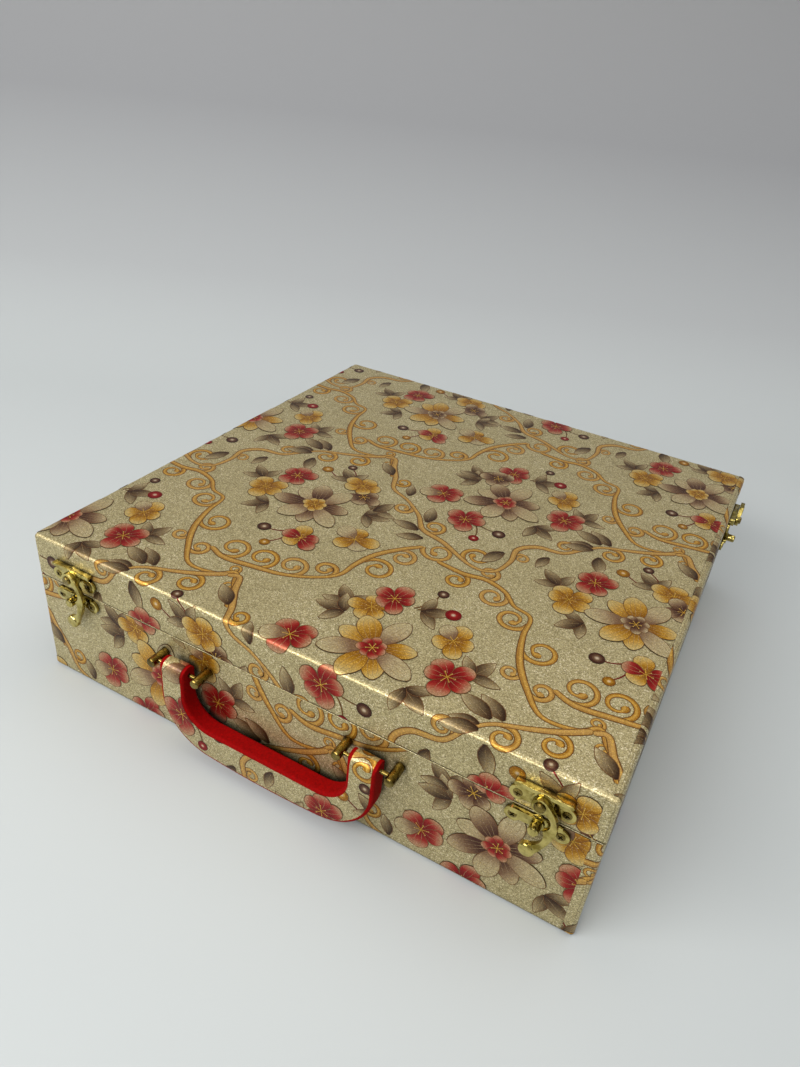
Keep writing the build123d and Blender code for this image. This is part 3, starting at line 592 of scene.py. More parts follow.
def layBouquet(plan, center, kind):
    def at(x, y):
        return (center[0] + x, center[1] + y)

    for base, tip, bow in plan["stems"]:
        stem(at(*base), at(*tip), bow, plan["stemInk"])
    for x, y, angle in plan["sprays"]:
        leafSpray(at(x, y), angle, plan["sprayScale"])
    for x, y, color, radius in plan["berries"]:
        berry(at(x, y), color, radius)
    petals, heart = plan["big"][kind % 2]
    bigFlower(center, petals, heart, plan["bigTurn"])
    for x, y, colors, size, turn in plan["small"]:
        smallFlower(at(x, y), colors[kind % 2] if isinstance(colors, tuple) else colors, size, turn)


def layPrint(area, shift):
    low, high = np.array(area[:2]), np.array(area[2:])
    pitch = np.array([printRepeat["width"], printRepeat["height"]])
    origin = np.array(printRepeat["origin"]) + shift
    startSheet()
    for column in printRepeat["columns"]:
        for row in printRepeat["rows"]:
            place = origin + pitch * (column, row)
            if (place + printRepeat["ahead"] < low).any() or (place - printRepeat["behind"] > high).any():
                continue
            for index, (fade, points) in enumerate(vinePaths):
                vine(np.array(points) + place, fade, layers["vine"] + layers["step"] * index)
            for number, (x, y, vineNumber, sense) in enumerate(vineCurls):
                path = smoothPath(vinePaths[vineNumber][1], curlPlan["spacing"]) + place
                curl((place[0] + x, place[1] + y), path, sense, 0.5 * (number * 5 % 7) / 7,
                     layers["curl"] + layers["step"] * (number * 3 % 7))
            for x, y, angle, scale in vineLeaves:
                leaf((place[0] + x, place[1] + y), angle, 18 * scale, 8.0 * scale, 0.12, 0.7)
            for plan, offset in zip(bouquets, ((0, 0), printRepeat["second"])):
                layBouquet(plan, tuple(place + offset), column + row)


def trimSheet(area):
    points = np.vstack(sheet["points"])
    inks = np.vstack(sheet["inks"])
    faces = np.vstack(sheet["faces"])
    corners = points[faces][:, :, :2]
    keep = (corners.max(1) > area[:2]).all(1) & (corners.min(1) < area[2:]).all(1)
    faces = faces[keep]
    used, faces = np.unique(faces, return_inverse=True)
    return points[used], inks[used], faces.reshape(-1, 4)


def cutSheet(name, area, lines):
    points, inks, faces = trimSheet(area)
    mesh = bpy.data.meshes.new(name)
    mesh.from_pydata(points.tolist(), [], faces.tolist())
    layer = mesh.attributes.new("ink", "FLOAT_COLOR", "POINT")
    layer.data.foreach_set("color", inks.astype(np.float32).ravel())
    piece = newObject(name, mesh)
    bpy.context.view_layer.objects.active = piece
    piece.select_set(True)
    bpy.ops.object.mode_set(mode="EDIT")
    cuts = [((area[0], 0, 0), (-1, 0, 0), True), ((area[2], 0, 0), (1, 0, 0), True),
            ((0, area[1], 0), (0, -1, 0), True), ((0, area[3], 0), (0, 1, 0), True)]
    cuts += [((place, 0, 0), (1, 0, 0), False) for place in lines[0]]
    cuts += [((0, place, 0), (0, 1, 0), False) for place in lines[1]]
    for place, normal, clear in cuts:
        bpy.ops.mesh.select_all(action="SELECT")
        bpy.ops.mesh.bisect(plane_co=place, plane_no=normal, clear_outer=clear)
    bpy.ops.object.mode_set(mode="OBJECT")
    piece.select_set(False)
    return piece


def readPoints(piece):
    points = np.zeros(len(piece.data.vertices) * 3)
    piece.data.vertices.foreach_get("co", points)
    return points.reshape(-1, 3)


def writePoints(piece, points):
    piece.data.vertices.foreach_set("co", np.asarray(points, np.float32).ravel())
    piece.data.update()


foldSteps = 8  # round each turned edge


def foldLines(limit, radius, sign=1):
    arc = math.pi / 2 * radius
    return [sign * (limit + arc * step / foldSteps) for step in range(foldSteps + 1)]


def foldOver(distance, lift, radius):
    arc = math.pi / 2 * radius
    angle = np.clip(distance, 0, arc) / radius
    past = np.maximum(distance - arc, 0)
    before = np.minimum(distance, 0)
    out = before + (radius + lift) * np.sin(angle)
    down = (radius + lift) * (1 - np.cos(angle)) + past - lift
    return out, down


def finishPrint(piece, points, body):
    writePoints(piece, points / mm)
    paint(piece, inkedLeatherette)
    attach(piece, body)


# Lid: one sheet over the top, down the front and the back, and a strip turned over each side; in millimetres
lidSheet = {
    "flatX": halfWidth * mm - edgeRadius * mm,
    "flatY": halfDepth * mm - edgeRadius * mm,
    "flap": math.pi / 2 * edgeRadius * mm + (boxTop - lidBottom - edgeRadius) * mm - 0.12,  # ends above the rim
    "overlapX": 149.0,
    "sideShift": (61.0, 33.0),
    "lapSlope": 0.1,
}


def printLid():
    radius = edgeRadius * mm
    flatX, flatY, flap = lidSheet["flatX"], lidSheet["flatY"], lidSheet["flap"]
    parts = [
        ("lid_print_top", (-flatX, -flatY - flap, lidSheet["overlapX"], flatY + flap), (0, 0)),
        ("lid_print_left", (-flatX - flap, -flatY, -flatX, flatY), (0, 0)),
        ("lid_print_right", (lidSheet["overlapX"], -flatY, flatX + flap, flatY), lidSheet["sideShift"]),
    ]
    for name, area, shift in parts:
        layPrint(area, np.array(shift, float))
        if name == "lid_print_top":
            lines = ([], foldLines(flatY, radius) + foldLines(flatY, radius, -1))
        else:
            lines = (foldLines(flatX, radius, -1 if "left" in name else 1), [])
        piece = cutSheet(name, area, lines)
        flat = readPoints(piece)
        lift = flat[:, 2]
        axis = 1 if name == "lid_print_top" else 0
        limit = flatY if axis == 1 else flatX
        sign = np.sign(flat[:, axis])
        if name == "lid_print_right":
            slope = lidSheet["lapSlope"]
            lift = lift + overlapPlan["thickness"] * np.clip((flatX + slope - flat[:, 0]) / slope, 0, 1)
        out, down = foldOver(np.abs(flat[:, axis]) - limit, lift, radius)
        folded = flat.copy()
        folded[:, axis] = sign * (limit + out)
        folded[:, 2] = boxTop * mm - down
        finishPrint(piece, folded, "lid")
        print(name, len(piece.data.polygons), "faces")


# Where the covering laps over itself at the right-hand edge it stands a little higher; corners in millimetres
overlapPlan = {
    "thickness": 0.22,
    "softEdge": 0.00012,
    "strips": [
        ("tray_overlap", "base", (147.0, -156.72, 2.0), (150.9, -156.3, 61.3)),
        ("lid_overlap_front", "lid", (147.0, -156.72, 63.1), (150.9, -156.3, 84.9)),
        ("lid_overlap_top", "lid", (149.0, -154.2, 86.7), (150.4, 154.2, 87.08)),
    ],
}


def makeOverlaps():
    for name, body, low, high in overlapPlan["strips"]:
        low, high = Vector(low) / mm, Vector(high) / mm
        bpy.ops.mesh.primitive_cube_add(size=1, location=(low + high) / 2, scale=high - low)
        strip = bpy.context.active_object
        strip.name = strip.data.name = name
        bpy.ops.object.transform_apply(location=True, rotation=True, scale=True)
        bevel = strip.modifiers.new("softEdge", "BEVEL")
        bevel.width, bevel.segments = overlapPlan["softEdge"], 2
        bpy.ops.object.modifier_apply(modifier=bevel.name)
        strip.select_set(False)
        paint(strip, leatherette)
        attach(strip, body)


makeOverlaps()
printLid()

# Tray: one belt round the four walls that starts and ends at the front right corner
traySheet = {"seamX": 147.0, "shift": (-167.5, 8.5), "foot": 0.2, "margin": 0.45, "near": 1e-6}


def printTray():
    radius = cornerRadius * mm
    longX, longY = 2 * (halfWidth * mm - radius), 2 * (halfDepth * mm - radius)
    arc = math.pi / 2 * radius
    lengths = [longX, arc, longY, arc, longX, arc, longY, arc]
    starts = np.concatenate([[0], np.cumsum(lengths)]) - longX / 2
    around = sum(lengths)
    low, high = cornerRadius * mm + traySheet["foot"], trayTop * mm - traySheet["margin"]
    area = (traySheet["seamX"], low, traySheet["seamX"] + around, high)
    layPrint(area, np.array(traySheet["shift"]))
    lines = [starts[k] + arc * step / foldSteps for k in (1, 3, 5, 7) for step in range(foldSteps + 1)]
    piece = cutSheet("tray_print", area, (lines + [starts[-1]], []))
    flat = readPoints(piece)
    near = traySheet["near"]
    flat[flat[:, 0] < starts[1] + near, 2] += overlapPlan["thickness"]
    u = np.where(flat[:, 0] > starts[-1], flat[:, 0] - around, flat[:, 0])
    corners = [(longX / 2, -longY / 2), (longX / 2, longY / 2), (-longX / 2, longY / 2), (-longX / 2, -longY / 2)]
    wrapped = flat.copy()
    wrapped[:, 2] = flat[:, 1]
    for side in range(4):
        toward = math.pi / 2 * side
        ahead = np.array([math.cos(toward), math.sin(toward)])
        outward = np.array([ahead[1], -ahead[0]])
        begin, bend, end = starts[2 * side:2 * side + 3]
        onSide = (u >= begin - near) & (u <= bend + near)
        origin = np.array(corners[side - 1])
        wrapped[onSide, :2] = (origin + (u[onSide] - begin)[:, None] * ahead
                               + outward * (radius + flat[onSide, 2])[:, None])
        onArc = (u > bend + near) & (u < end - near)
        angle = toward - math.pi / 2 + (u[onArc] - bend) / radius
        reach = (radius + flat[onArc, 2])[:, None]
        wrapped[onArc, :2] = np.array(corners[side]) + reach * np.stack([np.cos(angle), np.sin(angle)], axis=1)
    finishPrint(piece, wrapped, "base")
    print("tray_print", len(piece.data.polygons), "faces")


printTray()

# Handle: the print on its front and back, up over the leg tops; sizes as the frame's handle, in millimetres
handleSheet = {
    "offset": -2.2, "half": 58.0, "opening": 47.1, "low": 6.7, "barTop": 22.1, "corner": 28.3, "bow": 378.3,
    "inner": 16.7, "pivot": 50.5, "pivotY": -163.5, "thickness": 4.7, "frontShift": (-68.5, 37.5),
    "backShift": (20.0, 61.0), "near": 0.02, "probe": 0.01, "pushes": 3,
}


def handleEdge(x, z):
    plan = handleSheet
    x = np.abs(x)
    reach = plan["half"] - plan["corner"]
    bowZ = plan["low"] + plan["bow"]
    cornerZ = bowZ - math.sqrt((plan["bow"] - plan["corner"]) ** 2 - reach ** 2)
    toBow = np.hypot(x, z - bowZ) - plan["bow"]
    toCorner = np.hypot(x - reach, z - cornerZ) - plan["corner"]
    slope = (bowZ - cornerZ) / reach
    inBow = (bowZ - z) > slope * x
    outer = np.where(z > cornerZ, x - plan["half"], np.where(inBow, toBow, toCorner))
    innerX = plan["opening"] - plan["inner"]
    innerZ = plan["barTop"] + plan["inner"]
    dx, dz = x - innerX, innerZ - z
    inner = np.where((dx > 0) & (dz > 0), np.hypot(dx, dz) - plan["inner"],
                     np.maximum(dx, dz) - plan["inner"])
    return np.maximum(outer, -inner)


def printHandle(name, shift, front):
    plan = handleSheet
    wrap = plan["thickness"] * math.pi / 2
    area = (-plan["half"], plan["low"], plan["half"], plan["pivot"] + wrap)
    layPrint(area, np.array(shift))
    rows = [plan["pivot"] + wrap * step / foldSteps for step in range(foldSteps)]
    piece = cutSheet(name, area, ([], rows))
    flat = readPoints(piece)
    outside = handleEdge(flat[:, 0], flat[:, 1]) > plan["near"]
    step = plan["probe"]
    for _ in range(plan["pushes"]):  # points past the outline are drawn in to it, along its slope
        x, z = flat[:, 0], flat[:, 1]
        edge = handleEdge(x, z)
        slopeX = (handleEdge(x + step, z) - handleEdge(x - step, z)) / (2 * step)
        slopeZ = (handleEdge(x, z + step) - handleEdge(x, z - step)) / (2 * step)
        push = np.clip(edge, 0, None)
        flat[:, 0] -= push * slopeX
        flat[:, 1] -= push * slopeZ
    for face in piece.data.polygons:
        face.select = bool(outside[list(face.vertices)].all())
    bpy.context.view_layer.objects.active = piece
    piece.select_set(True)
    angle = np.clip(flat[:, 1] - plan["pivot"], 0, wrap) / plan["thickness"]
    reach = plan["thickness"] + flat[:, 2]
    side = -1 if front else 1
    folded = np.stack([plan["offset"] - flat[:, 0] * side, plan["pivotY"] + side * reach * np.cos(angle),
                       np.minimum(flat[:, 1], plan["pivot"]) + reach * np.sin(angle)], axis=1)
    writePoints(piece, folded)
    bpy.ops.object.mode_set(mode="EDIT")
    bpy.ops.mesh.select_mode(type="FACE")
    bpy.ops.mesh.delete(type="FACE")
    bpy.ops.mesh.select_mode(type="VERT")
    bpy.ops.object.mode_set(mode="OBJECT")
    piece.select_set(False)
    finishPrint(piece, readPoints(piece), "handle")
    print(name, len(piece.data.polygons), "faces")


printHandle("handle_print_front", handleSheet["frontShift"], True)
printHandle("handle_print_back", handleSheet["backShift"], False)

# Brass fittings; a noise is given as its scale, detail and roughness
brassLook = {
    "brass": {"color": srgb(200, 184, 112), "deep": srgb(128, 112, 50), "gloss": (0.1, 0.22)},
    "aged_brass": {"color": srgb(138, 120, 66), "deep": srgb(76, 62, 26), "gloss": (0.16, 0.34)},
    # painted shade in the hollows and contact corners of the brass: reach, darkest tone, and where it clears
    "paintedShade": {"depth": 0.0016, "dark": 0.22, "clear": 0.8},
    "cloud": (150, 5.0, 0.65),
    "fine": (1400, 4.0, 0.6),
    "wave": (190, 2.0, 0.5),
    "waveDepth": 0.0016,
}


def makeBrass(name):
    look = brassLook[name]
    material, shader = newMaterial(name, look["color"], 1.0, 0.2)
    coords = objectCoords(material)
    cloud = noiseTexture(material, coords, *brassLook["cloud"])
    tone = ramp(material, cloud, [(0.34, look["deep"]), (0.58, look["color"])])
    link(material, paintedShade(material, tone, brassLook["paintedShade"]), shader.inputs["Base Color"])
    fine = noiseTexture(material, coords, *brassLook["fine"])
    gloss = ramp(material, fine, [(0.3, grey(look["gloss"][0])), (0.7, grey(look["gloss"][1]))])
    link(material, gloss, shader.inputs["Roughness"])
    wave = noiseTexture(material, coords, *brassLook["wave"])
    addBump(material, shader, wave, brassLook["waveDepth"], 0.5)
    return material


brass = makeBrass("brass")
agedBrass = makeBrass("aged_brass")

# Red edging of the handle
redLook = {
    "color": srgb(146, 0, 4), "deep": srgb(112, 0, 2), "roughness": 0.8, "nap": (900, 5.0, 0.7), "napDepth": 0.00012,
    "sockets": {"Specular IOR Level": 0.08},
}


def makeRed():
    look = redLook
    material, shader = newMaterial("red_edging", look["color"], 0.0, look["roughness"], look["sockets"])
    nap = noiseTexture(material, objectCoords(material), *look["nap"])
    link(material, ramp(material, nap, [(0.3, look["deep"]), (0.7, look["color"])]), shader.inputs["Base Color"])
    addBump(material, shader, nap, look["napDepth"], 0.5)
    return material


redEdging = makeRed()

# Velvet of the inside
velvetLook = {
    "color": srgb(142, 14, 34), "deep": srgb(88, 6, 20), "roughness": 0.85,
    "pile": (1500, 4.0, 0.7), "pileDepth": 0.0003, "crush": (90, 4.0, 0.6), "crushShare": 0.3,
    # painted shade in the velvet's seams and corners: reach, darkest tone, and where it clears
    "paintedShade": {"depth": 0.006, "dark": 0.2, "clear": 0.9},
    "sockets": {"Sheen Weight": 0.5, "Sheen Roughness": 0.35, "Sheen Tint": srgb(220, 120, 130)},
}


def makeVelvet():
    look = velvetLook
    material, shader = newMaterial("velvet", look["color"], 0.0, look["roughness"], look["sockets"])
    coords = objectCoords(material)
    pile = noiseTexture(material, coords, *look["pile"])
    crush = noiseTexture(material, coords, *look["crush"])
    mixed = mix(material, look["crushShare"], pile, crush, "FLOAT")
    tone = ramp(material, mixed, [(0.35, look["deep"]), (0.65, look["color"])])
    link(material, paintedShade(material, tone, look["paintedShade"]), shader.inputs["Base Color"])
    addBump(material, shader, pile, look["pileDepth"], 0.6)
    return material


velvet = makeVelvet()

# Boards, card, turned wood and the underside sheet: dark, pale, roughness and how the grain is stretched
woodLook = {
    "board": (srgb(150, 118, 82), srgb(176, 144, 104), 0.8, (1, 1, 1)),
    "turned": (srgb(120, 76, 40), srgb(168, 116, 66), 0.42, (0.2, 3, 3)),
    "card": (srgb(150, 122, 86), srgb(172, 146, 108), 0.85, (0.4, 2, 2)),
    "underside": (srgb(34, 31, 30), srgb(54, 50, 48), 0.6, (6, 6, 6)),
}
grainLook = {"noise": (60, 6, 0.5), "depth": 0.0002, "strength": 0.4}


def makeWood(name):
    deep, pale, roughness, stretch = woodLook[name]
    material, shader = newMaterial(name, pale, 0.0, roughness)
    mapping = addNode(material, "ShaderNodeMapping", Scale=stretch)
    link(material, objectCoords(material), mapping.inputs["Vector"])
    grain = noiseTexture(material, mapping.outputs["Vector"], *grainLook["noise"])
    link(material, ramp(material, grain, [(0.35, deep), (0.65, pale)]), shader.inputs["Base Color"])
    addBump(material, shader, grain, grainLook["depth"], grainLook["strength"])
    return material


board, turnedWood, card, underside = [makeWood(name) for name in woodLook]

for name, node in nodes.items():
    if name in ("base_cover", "lid_cover", "handle_cover"):
        paint(node, leatherette)
    elif name.endswith("edging"):
        paint(node, redEdging)
    elif name in ("base_lining", "lid_lining", "lid_pad") or name.endswith("sleeve"):
        paint(node, velvet)
    elif name == "base_bottom_sheet":
        paint(node, underside)
    elif name.startswith("roll") and name.endswith("core"):
        paint(node, card)
    elif name.endswith("caps") or name.endswith("roll_rest"):
        paint(node, turnedWood)
    elif name in ("hook_rivets", "handle_pins", "handle_posts", "handle_post_nuts", "hinge_pins"):
        paint(node, agedBrass)
    elif name.endswith("wall") or name.endswith("board") or name == "handle_core":
        paint(node, board)
    else:
        paint(node, brass)
print("materials set")

# Soft pieces of the inside: the quilted ceiling panel with its buttons, and the padded sleeves of the rolls.
# Each is shaped, then filled by a cloth simulation, which moves no point by more than about the cap, in metres.


def puff(piece, held, plan):
    group = piece.vertex_groups.new(name="sewn")
    group.add([int(index) for index in held], 1.0, "REPLACE")
    start = readPoints(piece)
    cloth = piece.modifiers.new("fill", "CLOTH")
    cloth.settings.quality = 5
    cloth.settings.use_pressure = True
    cloth.settings.uniform_pressure_force = plan["pressure"]
    cloth.settings.shrink_min = -plan["spare"]
    cloth.settings.vertex_group_mass = group.name
    cloth.settings.effector_weights.gravity = 0
    cloth.collision_settings.use_self_collision = False
    for number in range(1, plan["frames"] + 1):
        bpy.context.scene.frame_set(number)
    bpy.context.view_layer.objects.active = piece
    bpy.ops.object.modifier_apply(modifier=cloth.name)
    bpy.context.scene.frame_set(1)
    piece.vertex_groups.clear()
    move = readPoints(piece) - start
    reach = np.maximum(np.linalg.norm(move, axis=1, keepdims=True), 1e-9)
    writePoints(piece, start + move * (plan["cap"] / reach) * np.tanh(reach / plan["cap"]))
    print(piece.name, "filled, moved by up to", round(float(reach.max()) * mm, 2), "mm before its cap")


panelPlan = {
    "cell": 21, "cells": 4,  # grid steps between seams, and quilts along a side
    "pressure": 4.0, "spare": 0.02, "frames": 16, "cap": 0.0009,
    "thin": 0.25, "seamDrop": 0.9, "rise": 3.2, "fullness": 0.55, "edgeRoll": 7.0,
    "button": 4.2, "buttonFlat": 0.36, "buttonStand": 0.2,
}


def makePanel():
    plan = panelPlan
    cell, cells = plan["cell"], plan["cells"]
    low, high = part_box("lid_pad")
    size, middle = (high - low) * mm, (high + low) / 2 * mm
    count = cell * cells
    bpy.ops.mesh.primitive_grid_add(x_subdivisions=count, y_subdivisions=count, size=1)
    panel = bpy.context.active_object
    panel.name = panel.data.name = "ceiling_panel"
    bpy.ops.object.mode_set(mode="EDIT")
    bpy.ops.mesh.select_all(action="SELECT")
    bpy.ops.mesh.extrude_region_move(TRANSFORM_OT_translate={"value": (0, 0, 1)})
    faceOutwards()
    points = readPoints(panel)
    column = np.round((points[:, 0] + 0.5) * count).astype(int)
    row = np.round((points[:, 1] + 0.5) * count).astype(int)
    under = points[:, 2] < 0.5
    seam = ((column + row) % cell == 0) | ((column - row) % cell == 0)
    border = (column == 0) | (row == 0) | (column == count) | (row == count)
    rise = np.abs(np.sin(math.pi * (column + row) / cell) * np.sin(math.pi * (column - row) / cell))
    inset = np.minimum(np.minimum(column, count - column) * size.x, np.minimum(row, count - row) * size.y) / count
    edge = np.sqrt(1 - (1 - np.clip(inset / plan["edgeRoll"], 0, 1)) ** 2)
    thin = plan["thin"]
    drop = thin + edge * (plan["seamDrop"] - thin + plan["rise"] * rise ** plan["fullness"])
    x, y = middle.x + points[:, 0] * size.x, middle.y + points[:, 1] * size.y
    z = np.where(under, high.z * mm - drop, high.z * mm)
    writePoints(panel, np.stack([x, y, z], axis=1) / mm)
    puff(panel, np.flatnonzero(~under | seam | border), plan)
    soften = panel.modifiers.new("soften", "SUBSURF")
    soften.levels = soften.render_levels = 1
    bpy.ops.object.modifier_apply(modifier=soften.name)
    panel.data.shade_smooth()
    panel.select_set(False)
    paint(panel, velvet)
    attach(panel, "lid")
    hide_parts("lid_pad")
    makeButtons(size, middle, high.z)


def makeButtons(size, middle, top):  # one where seams cross, all over the panel
    plan = panelPlan
    spots = [(i / 2, j / 2) for i in range(-3, 4) for j in range(-3, 4) if (i + j) % 2 == 0]
    height = top - (plan["seamDrop"] + plan["buttonStand"]) / mm
    buttons = []
    for across, deep in spots:
        bpy.ops.mesh.primitive_uv_sphere_add(segments=20, ring_count=10, radius=plan["button"] / mm)
        button = bpy.context.active_object
        place = ((middle.x + across * size.x / plan["cells"]) / mm, (middle.y + deep * size.y / plan["cells"]) / mm,
                 height)
        button.data.transform(Matrix.Translation(place) @ Matrix.Diagonal((1, 1, plan["buttonFlat"], 1)))
        button.data.shade_smooth()
        buttons.append(button)
        button.select_set(False)
    joined = joinPieces(buttons, "ceiling_buttons")
    paint(joined, velvet)
    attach(joined, "lid")


# A sleeve's section, as shares of half its way round: flat outside, shoulder, then the lip and the bore
sleevePlan = {
    "around": 210, "along": 96, "flatShare": 0.42, "shoulderShare": 0.08, "lipShare": (0.5, 0.54, 1.0),
    "shoulder": 5, "lip": 1.2, "lipDepth": 0.5, "crown": 1.5, "capGap": 0.4, "coreGap": 0.03,
    "pleats": 34, "pleatDepth": 1.1, "pleatReach": 26.0, "slack": 0.18,
    "seamAngle": -2.0, "seamDepth": 1.0, "seamWidth": 1.3,
    "pressure": 4.0, "spare": 0.015, "frames": 12, "cap": 0.0008,
    "turns": (0.0, 0.5, -0.35, 0.25),
}


def shapeSleeve():
    plan = sleevePlan
    low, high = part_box("roll_1_sleeve")
    coreLow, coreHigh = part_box("roll_1_core")
    half, outer = high.x * mm, (high.z - low.z) / 2 * mm - plan["capGap"]
    core = (coreHigh.z - coreLow.z) / 2 * mm + plan["coreGap"]
    bpy.ops.mesh.primitive_torus_add(major_segments=plan["around"], minor_segments=plan["along"],
                                     major_radius=1.0, minor_radius=0.5)
    sleeve = bpy.context.active_object
    points = readPoints(sleeve)
    turn = np.arctan2(points[:, 1], points[:, 0])
    section = np.arctan2(points[:, 2], np.hypot(points[:, 0], points[:, 1]) - 1.0) / math.pi
    side, section = np.sign(section), np.abs(section)
    flat, end, lip, crown = plan["flatShare"], plan["shoulder"], plan["lip"], plan["crown"]
    arc = np.clip((section - flat) / plan["shoulderShare"], 0, 1) * math.pi / 2
    outside = section < 0.501
    x = np.where(section < flat, section / flat * (half - end), half - end + end * np.sin(arc))
    x = np.where(outside, x, np.interp(section, plan["lipShare"], [half, half - plan["lipDepth"], 0]))
    shoulder = outer - crown * (x / half) ** 2
    radius = np.where(section < flat, shoulder, core + lip + (outer - crown - core - lip) * np.cos(arc))
    radius = np.where(outside, radius, np.interp(section, plan["lipShare"], [core + lip, core, core]))
    gather = np.clip((x - half + plan["pleatReach"]) / plan["pleatReach"], 0, 1) ** 2
    fold = 0.5 - 0.5 * np.cos(plan["pleats"] * turn + 1.4 * np.sin(3 * turn + side) + 0.8 * np.sin(7 * turn))
    slack = plan["slack"] * np.sin(5 * turn + x * side * 0.05) * np.sin(x * side * 0.11 + 2 * turn)
    gap = np.mod(turn - plan["seamAngle"] + math.pi, 2 * math.pi) - math.pi
    seam = np.exp(-(gap * outer / plan["seamWidth"]) ** 2 / 2) * plan["seamDepth"]
    room = np.clip((radius - core) / 3, 0, 1)
    radius = radius - np.where(outside, room * (gather * fold * plan["pleatDepth"] + seam - slack), 0)
    writePoints(sleeve, np.stack([x * side, radius * np.cos(turn), radius * np.sin(turn)], axis=1) / mm)
    bpy.ops.object.mode_set(mode="EDIT")
    faceOutwards()
    puff(sleeve, np.flatnonzero(~outside | (x > half - 0.8) | (np.abs(gap) * outer < 0.5)), plan)
    sleeve.data.shade_smooth()
    sleeve.select_set(False)
    return sleeve


def makeSleeves():
    pattern = shapeSleeve()
    for number, turn in enumerate(sleevePlan["turns"], start=1):
        low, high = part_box(f"roll_{number}_sleeve")
        sleeve = newObject(f"roll_{number}_padding", pattern.data.copy())
        sleeve.data.transform(Matrix.Translation((low + high) / 2) @ Matrix.Rotation(turn, 4, "X"))
        paint(sleeve, velvet)
        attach(sleeve, f"roll_{number}")
        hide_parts(f"roll_{number}_sleeve")
    bpy.data.objects.remove(pattern)


makePanel()
makeSleeves()
print("soft pieces made")

# Fittings: softened copies of the cast plates and hooks, and screws with a cross recess
sides = ("left", "right", "side")
fittingPlan = {
    "bevel": {"hook": 0.6, "plate": 0.42, "posts": 0.3, "leaves": 0.15},
    "bevelSteps": 3,
    "mergeGap": 0.000002,
    "flatAngle": 1.5,  # flatter joins than this are dissolved; angles are in degrees
    "edgeAngle": 38,
    "smoothAngle": 30,
    "pieces": [(f"{side}_hook", f"{side}_hook", "hook") for side in sides]
    + [(f"{side}_hook_plate", "lid", "plate") for side in sides]
    + [(f"{side}_keeper_plate", "base", "plate") for side in sides]
    + [("handle_posts", "base", "posts"), ("hinge_lid_leaves", "lid", "leaves"),
       ("hinge_base_leaves", "base", "leaves")],
}


def softenFitting(name, body, width):
    plan = fittingPlan
    copy = newObject(name + "_cast", nodes[name].data.copy())
    bpy.context.view_layer.objects.active = copy
    copy.select_set(True)
    bpy.ops.object.mode_set(mode="EDIT")
    bpy.ops.mesh.select_all(action="SELECT")
    bpy.ops.mesh.remove_doubles(threshold=plan["mergeGap"])
    bpy.ops.mesh.dissolve_limited(angle_limit=math.radians(plan["flatAngle"]))
    bpy.ops.object.mode_set(mode="OBJECT")
    bevel = copy.modifiers.new("softEdge", "BEVEL")
    bevel.width, bevel.segments = width / mm, plan["bevelSteps"]
    bevel.limit_method, bevel.angle_limit = "ANGLE", math.radians(plan["edgeAngle"])
    bpy.ops.object.modifier_apply(modifier=bevel.name)
    bpy.ops.object.shade_smooth_by_angle(angle=math.radians(plan["smoothAngle"]))
    copy.select_set(False)
    paint(copy, agedBrass if name == "handle_posts" else brass)
    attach(copy, body)
    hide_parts(name)


for name, body, kind in fittingPlan["pieces"]:
    softenFitting(name, body, fittingPlan["bevel"][kind])
print("fittings softened")


def latchScrews(height):
    front = [((x + dx, -158.0, height), (0, -1, 0)) for x in (-125.5, 125.5) for dx in (-10.3, 10.3)]
    return front + [((154.0, 122 + dy, height), (1, 0, 0)) for dy in (-10.3, 10.3)]


def hingeScrews(height):
    return [((x + dx, 157.5, height), (0, 1, 0)) for x in (-95, 95) for dx in (-9, 9)]


# One screw stands for all: its rings, from the head's rim up, are a step up and a change of width
screwPlan = {
    "headRadius": 2.0, "shankRadius": 1.1, "length": 5.6, "rise": 0.42, "vertices": 40, "smoothAngle": 28,
    "rings": [(0.12, 0.985), (0.18, 0.86), (0.09, 0.62), (0.03, 0.3)],
    "slotWidth": 0.62, "slotLength": 2.5, "slotDepth": 0.75,
    "turns": [12, 55, 78, 31, 64, 5, 40, 86],
    "groups": {
        "hook_plate_screws": ("lid", latchScrews(69.7)),
        "keeper_plate_screws": ("base", latchScrews(56.9)),
        "hinge_base_screws": ("base", hingeScrews(53.425)),
        "hinge_lid_screws": ("lid", hingeScrews(70.975)),
    },
}


def growRing(up, scale):
    bpy.ops.mesh.extrude_region_move(TRANSFORM_OT_translate={"value": (0, 0, up)})
    bpy.ops.transform.resize(value=(scale, scale, 1))


def modelScrew():
    plan = screwPlan
    shank, head = plan["shankRadius"], plan["headRadius"]
    bpy.ops.mesh.primitive_circle_add(vertices=plan["vertices"], radius=shank, fill_type="NGON",
                                      location=(0, 0, -plan["length"]))
    screw = bpy.context.active_object
    bpy.ops.object.mode_set(mode="EDIT")
    bpy.ops.mesh.select_all(action="SELECT")
    growRing(plan["length"] - (head - shank), 1)
    growRing(head - shank, head / shank)
    for up, scale in plan["rings"]:
        growRing(up, scale)
    faceOutwards()
    bpy.ops.object.transform_apply(location=True, rotation=True, scale=True)
    depth = plan["slotDepth"]
    for size in ((plan["slotWidth"], plan["slotLength"]), (plan["slotLength"], plan["slotWidth"])):
        bpy.ops.mesh.primitive_cube_add(size=1, location=(0, 0, plan["rise"] - depth / 2 + 0.2),
                                        scale=(size[0], size[1], depth + 0.4))
        slot = bpy.context.active_object
        bpy.ops.object.transform_apply(location=True, rotation=True, scale=True)
        slot.select_set(False)
        bpy.context.view_layer.objects.active = screw
        screw.select_set(True)
        cut = screw.modifiers.new("slot", "BOOLEAN")
        cut.operation, cut.object, cut.solver = "DIFFERENCE", slot, "EXACT"
        bpy.ops.object.modifier_apply(modifier=cut.name)
        bpy.data.objects.remove(slot)
    bpy.ops.object.shade_smooth_by_angle(angle=math.radians(plan["smoothAngle"]))
    screw.select_set(False)
    return screw


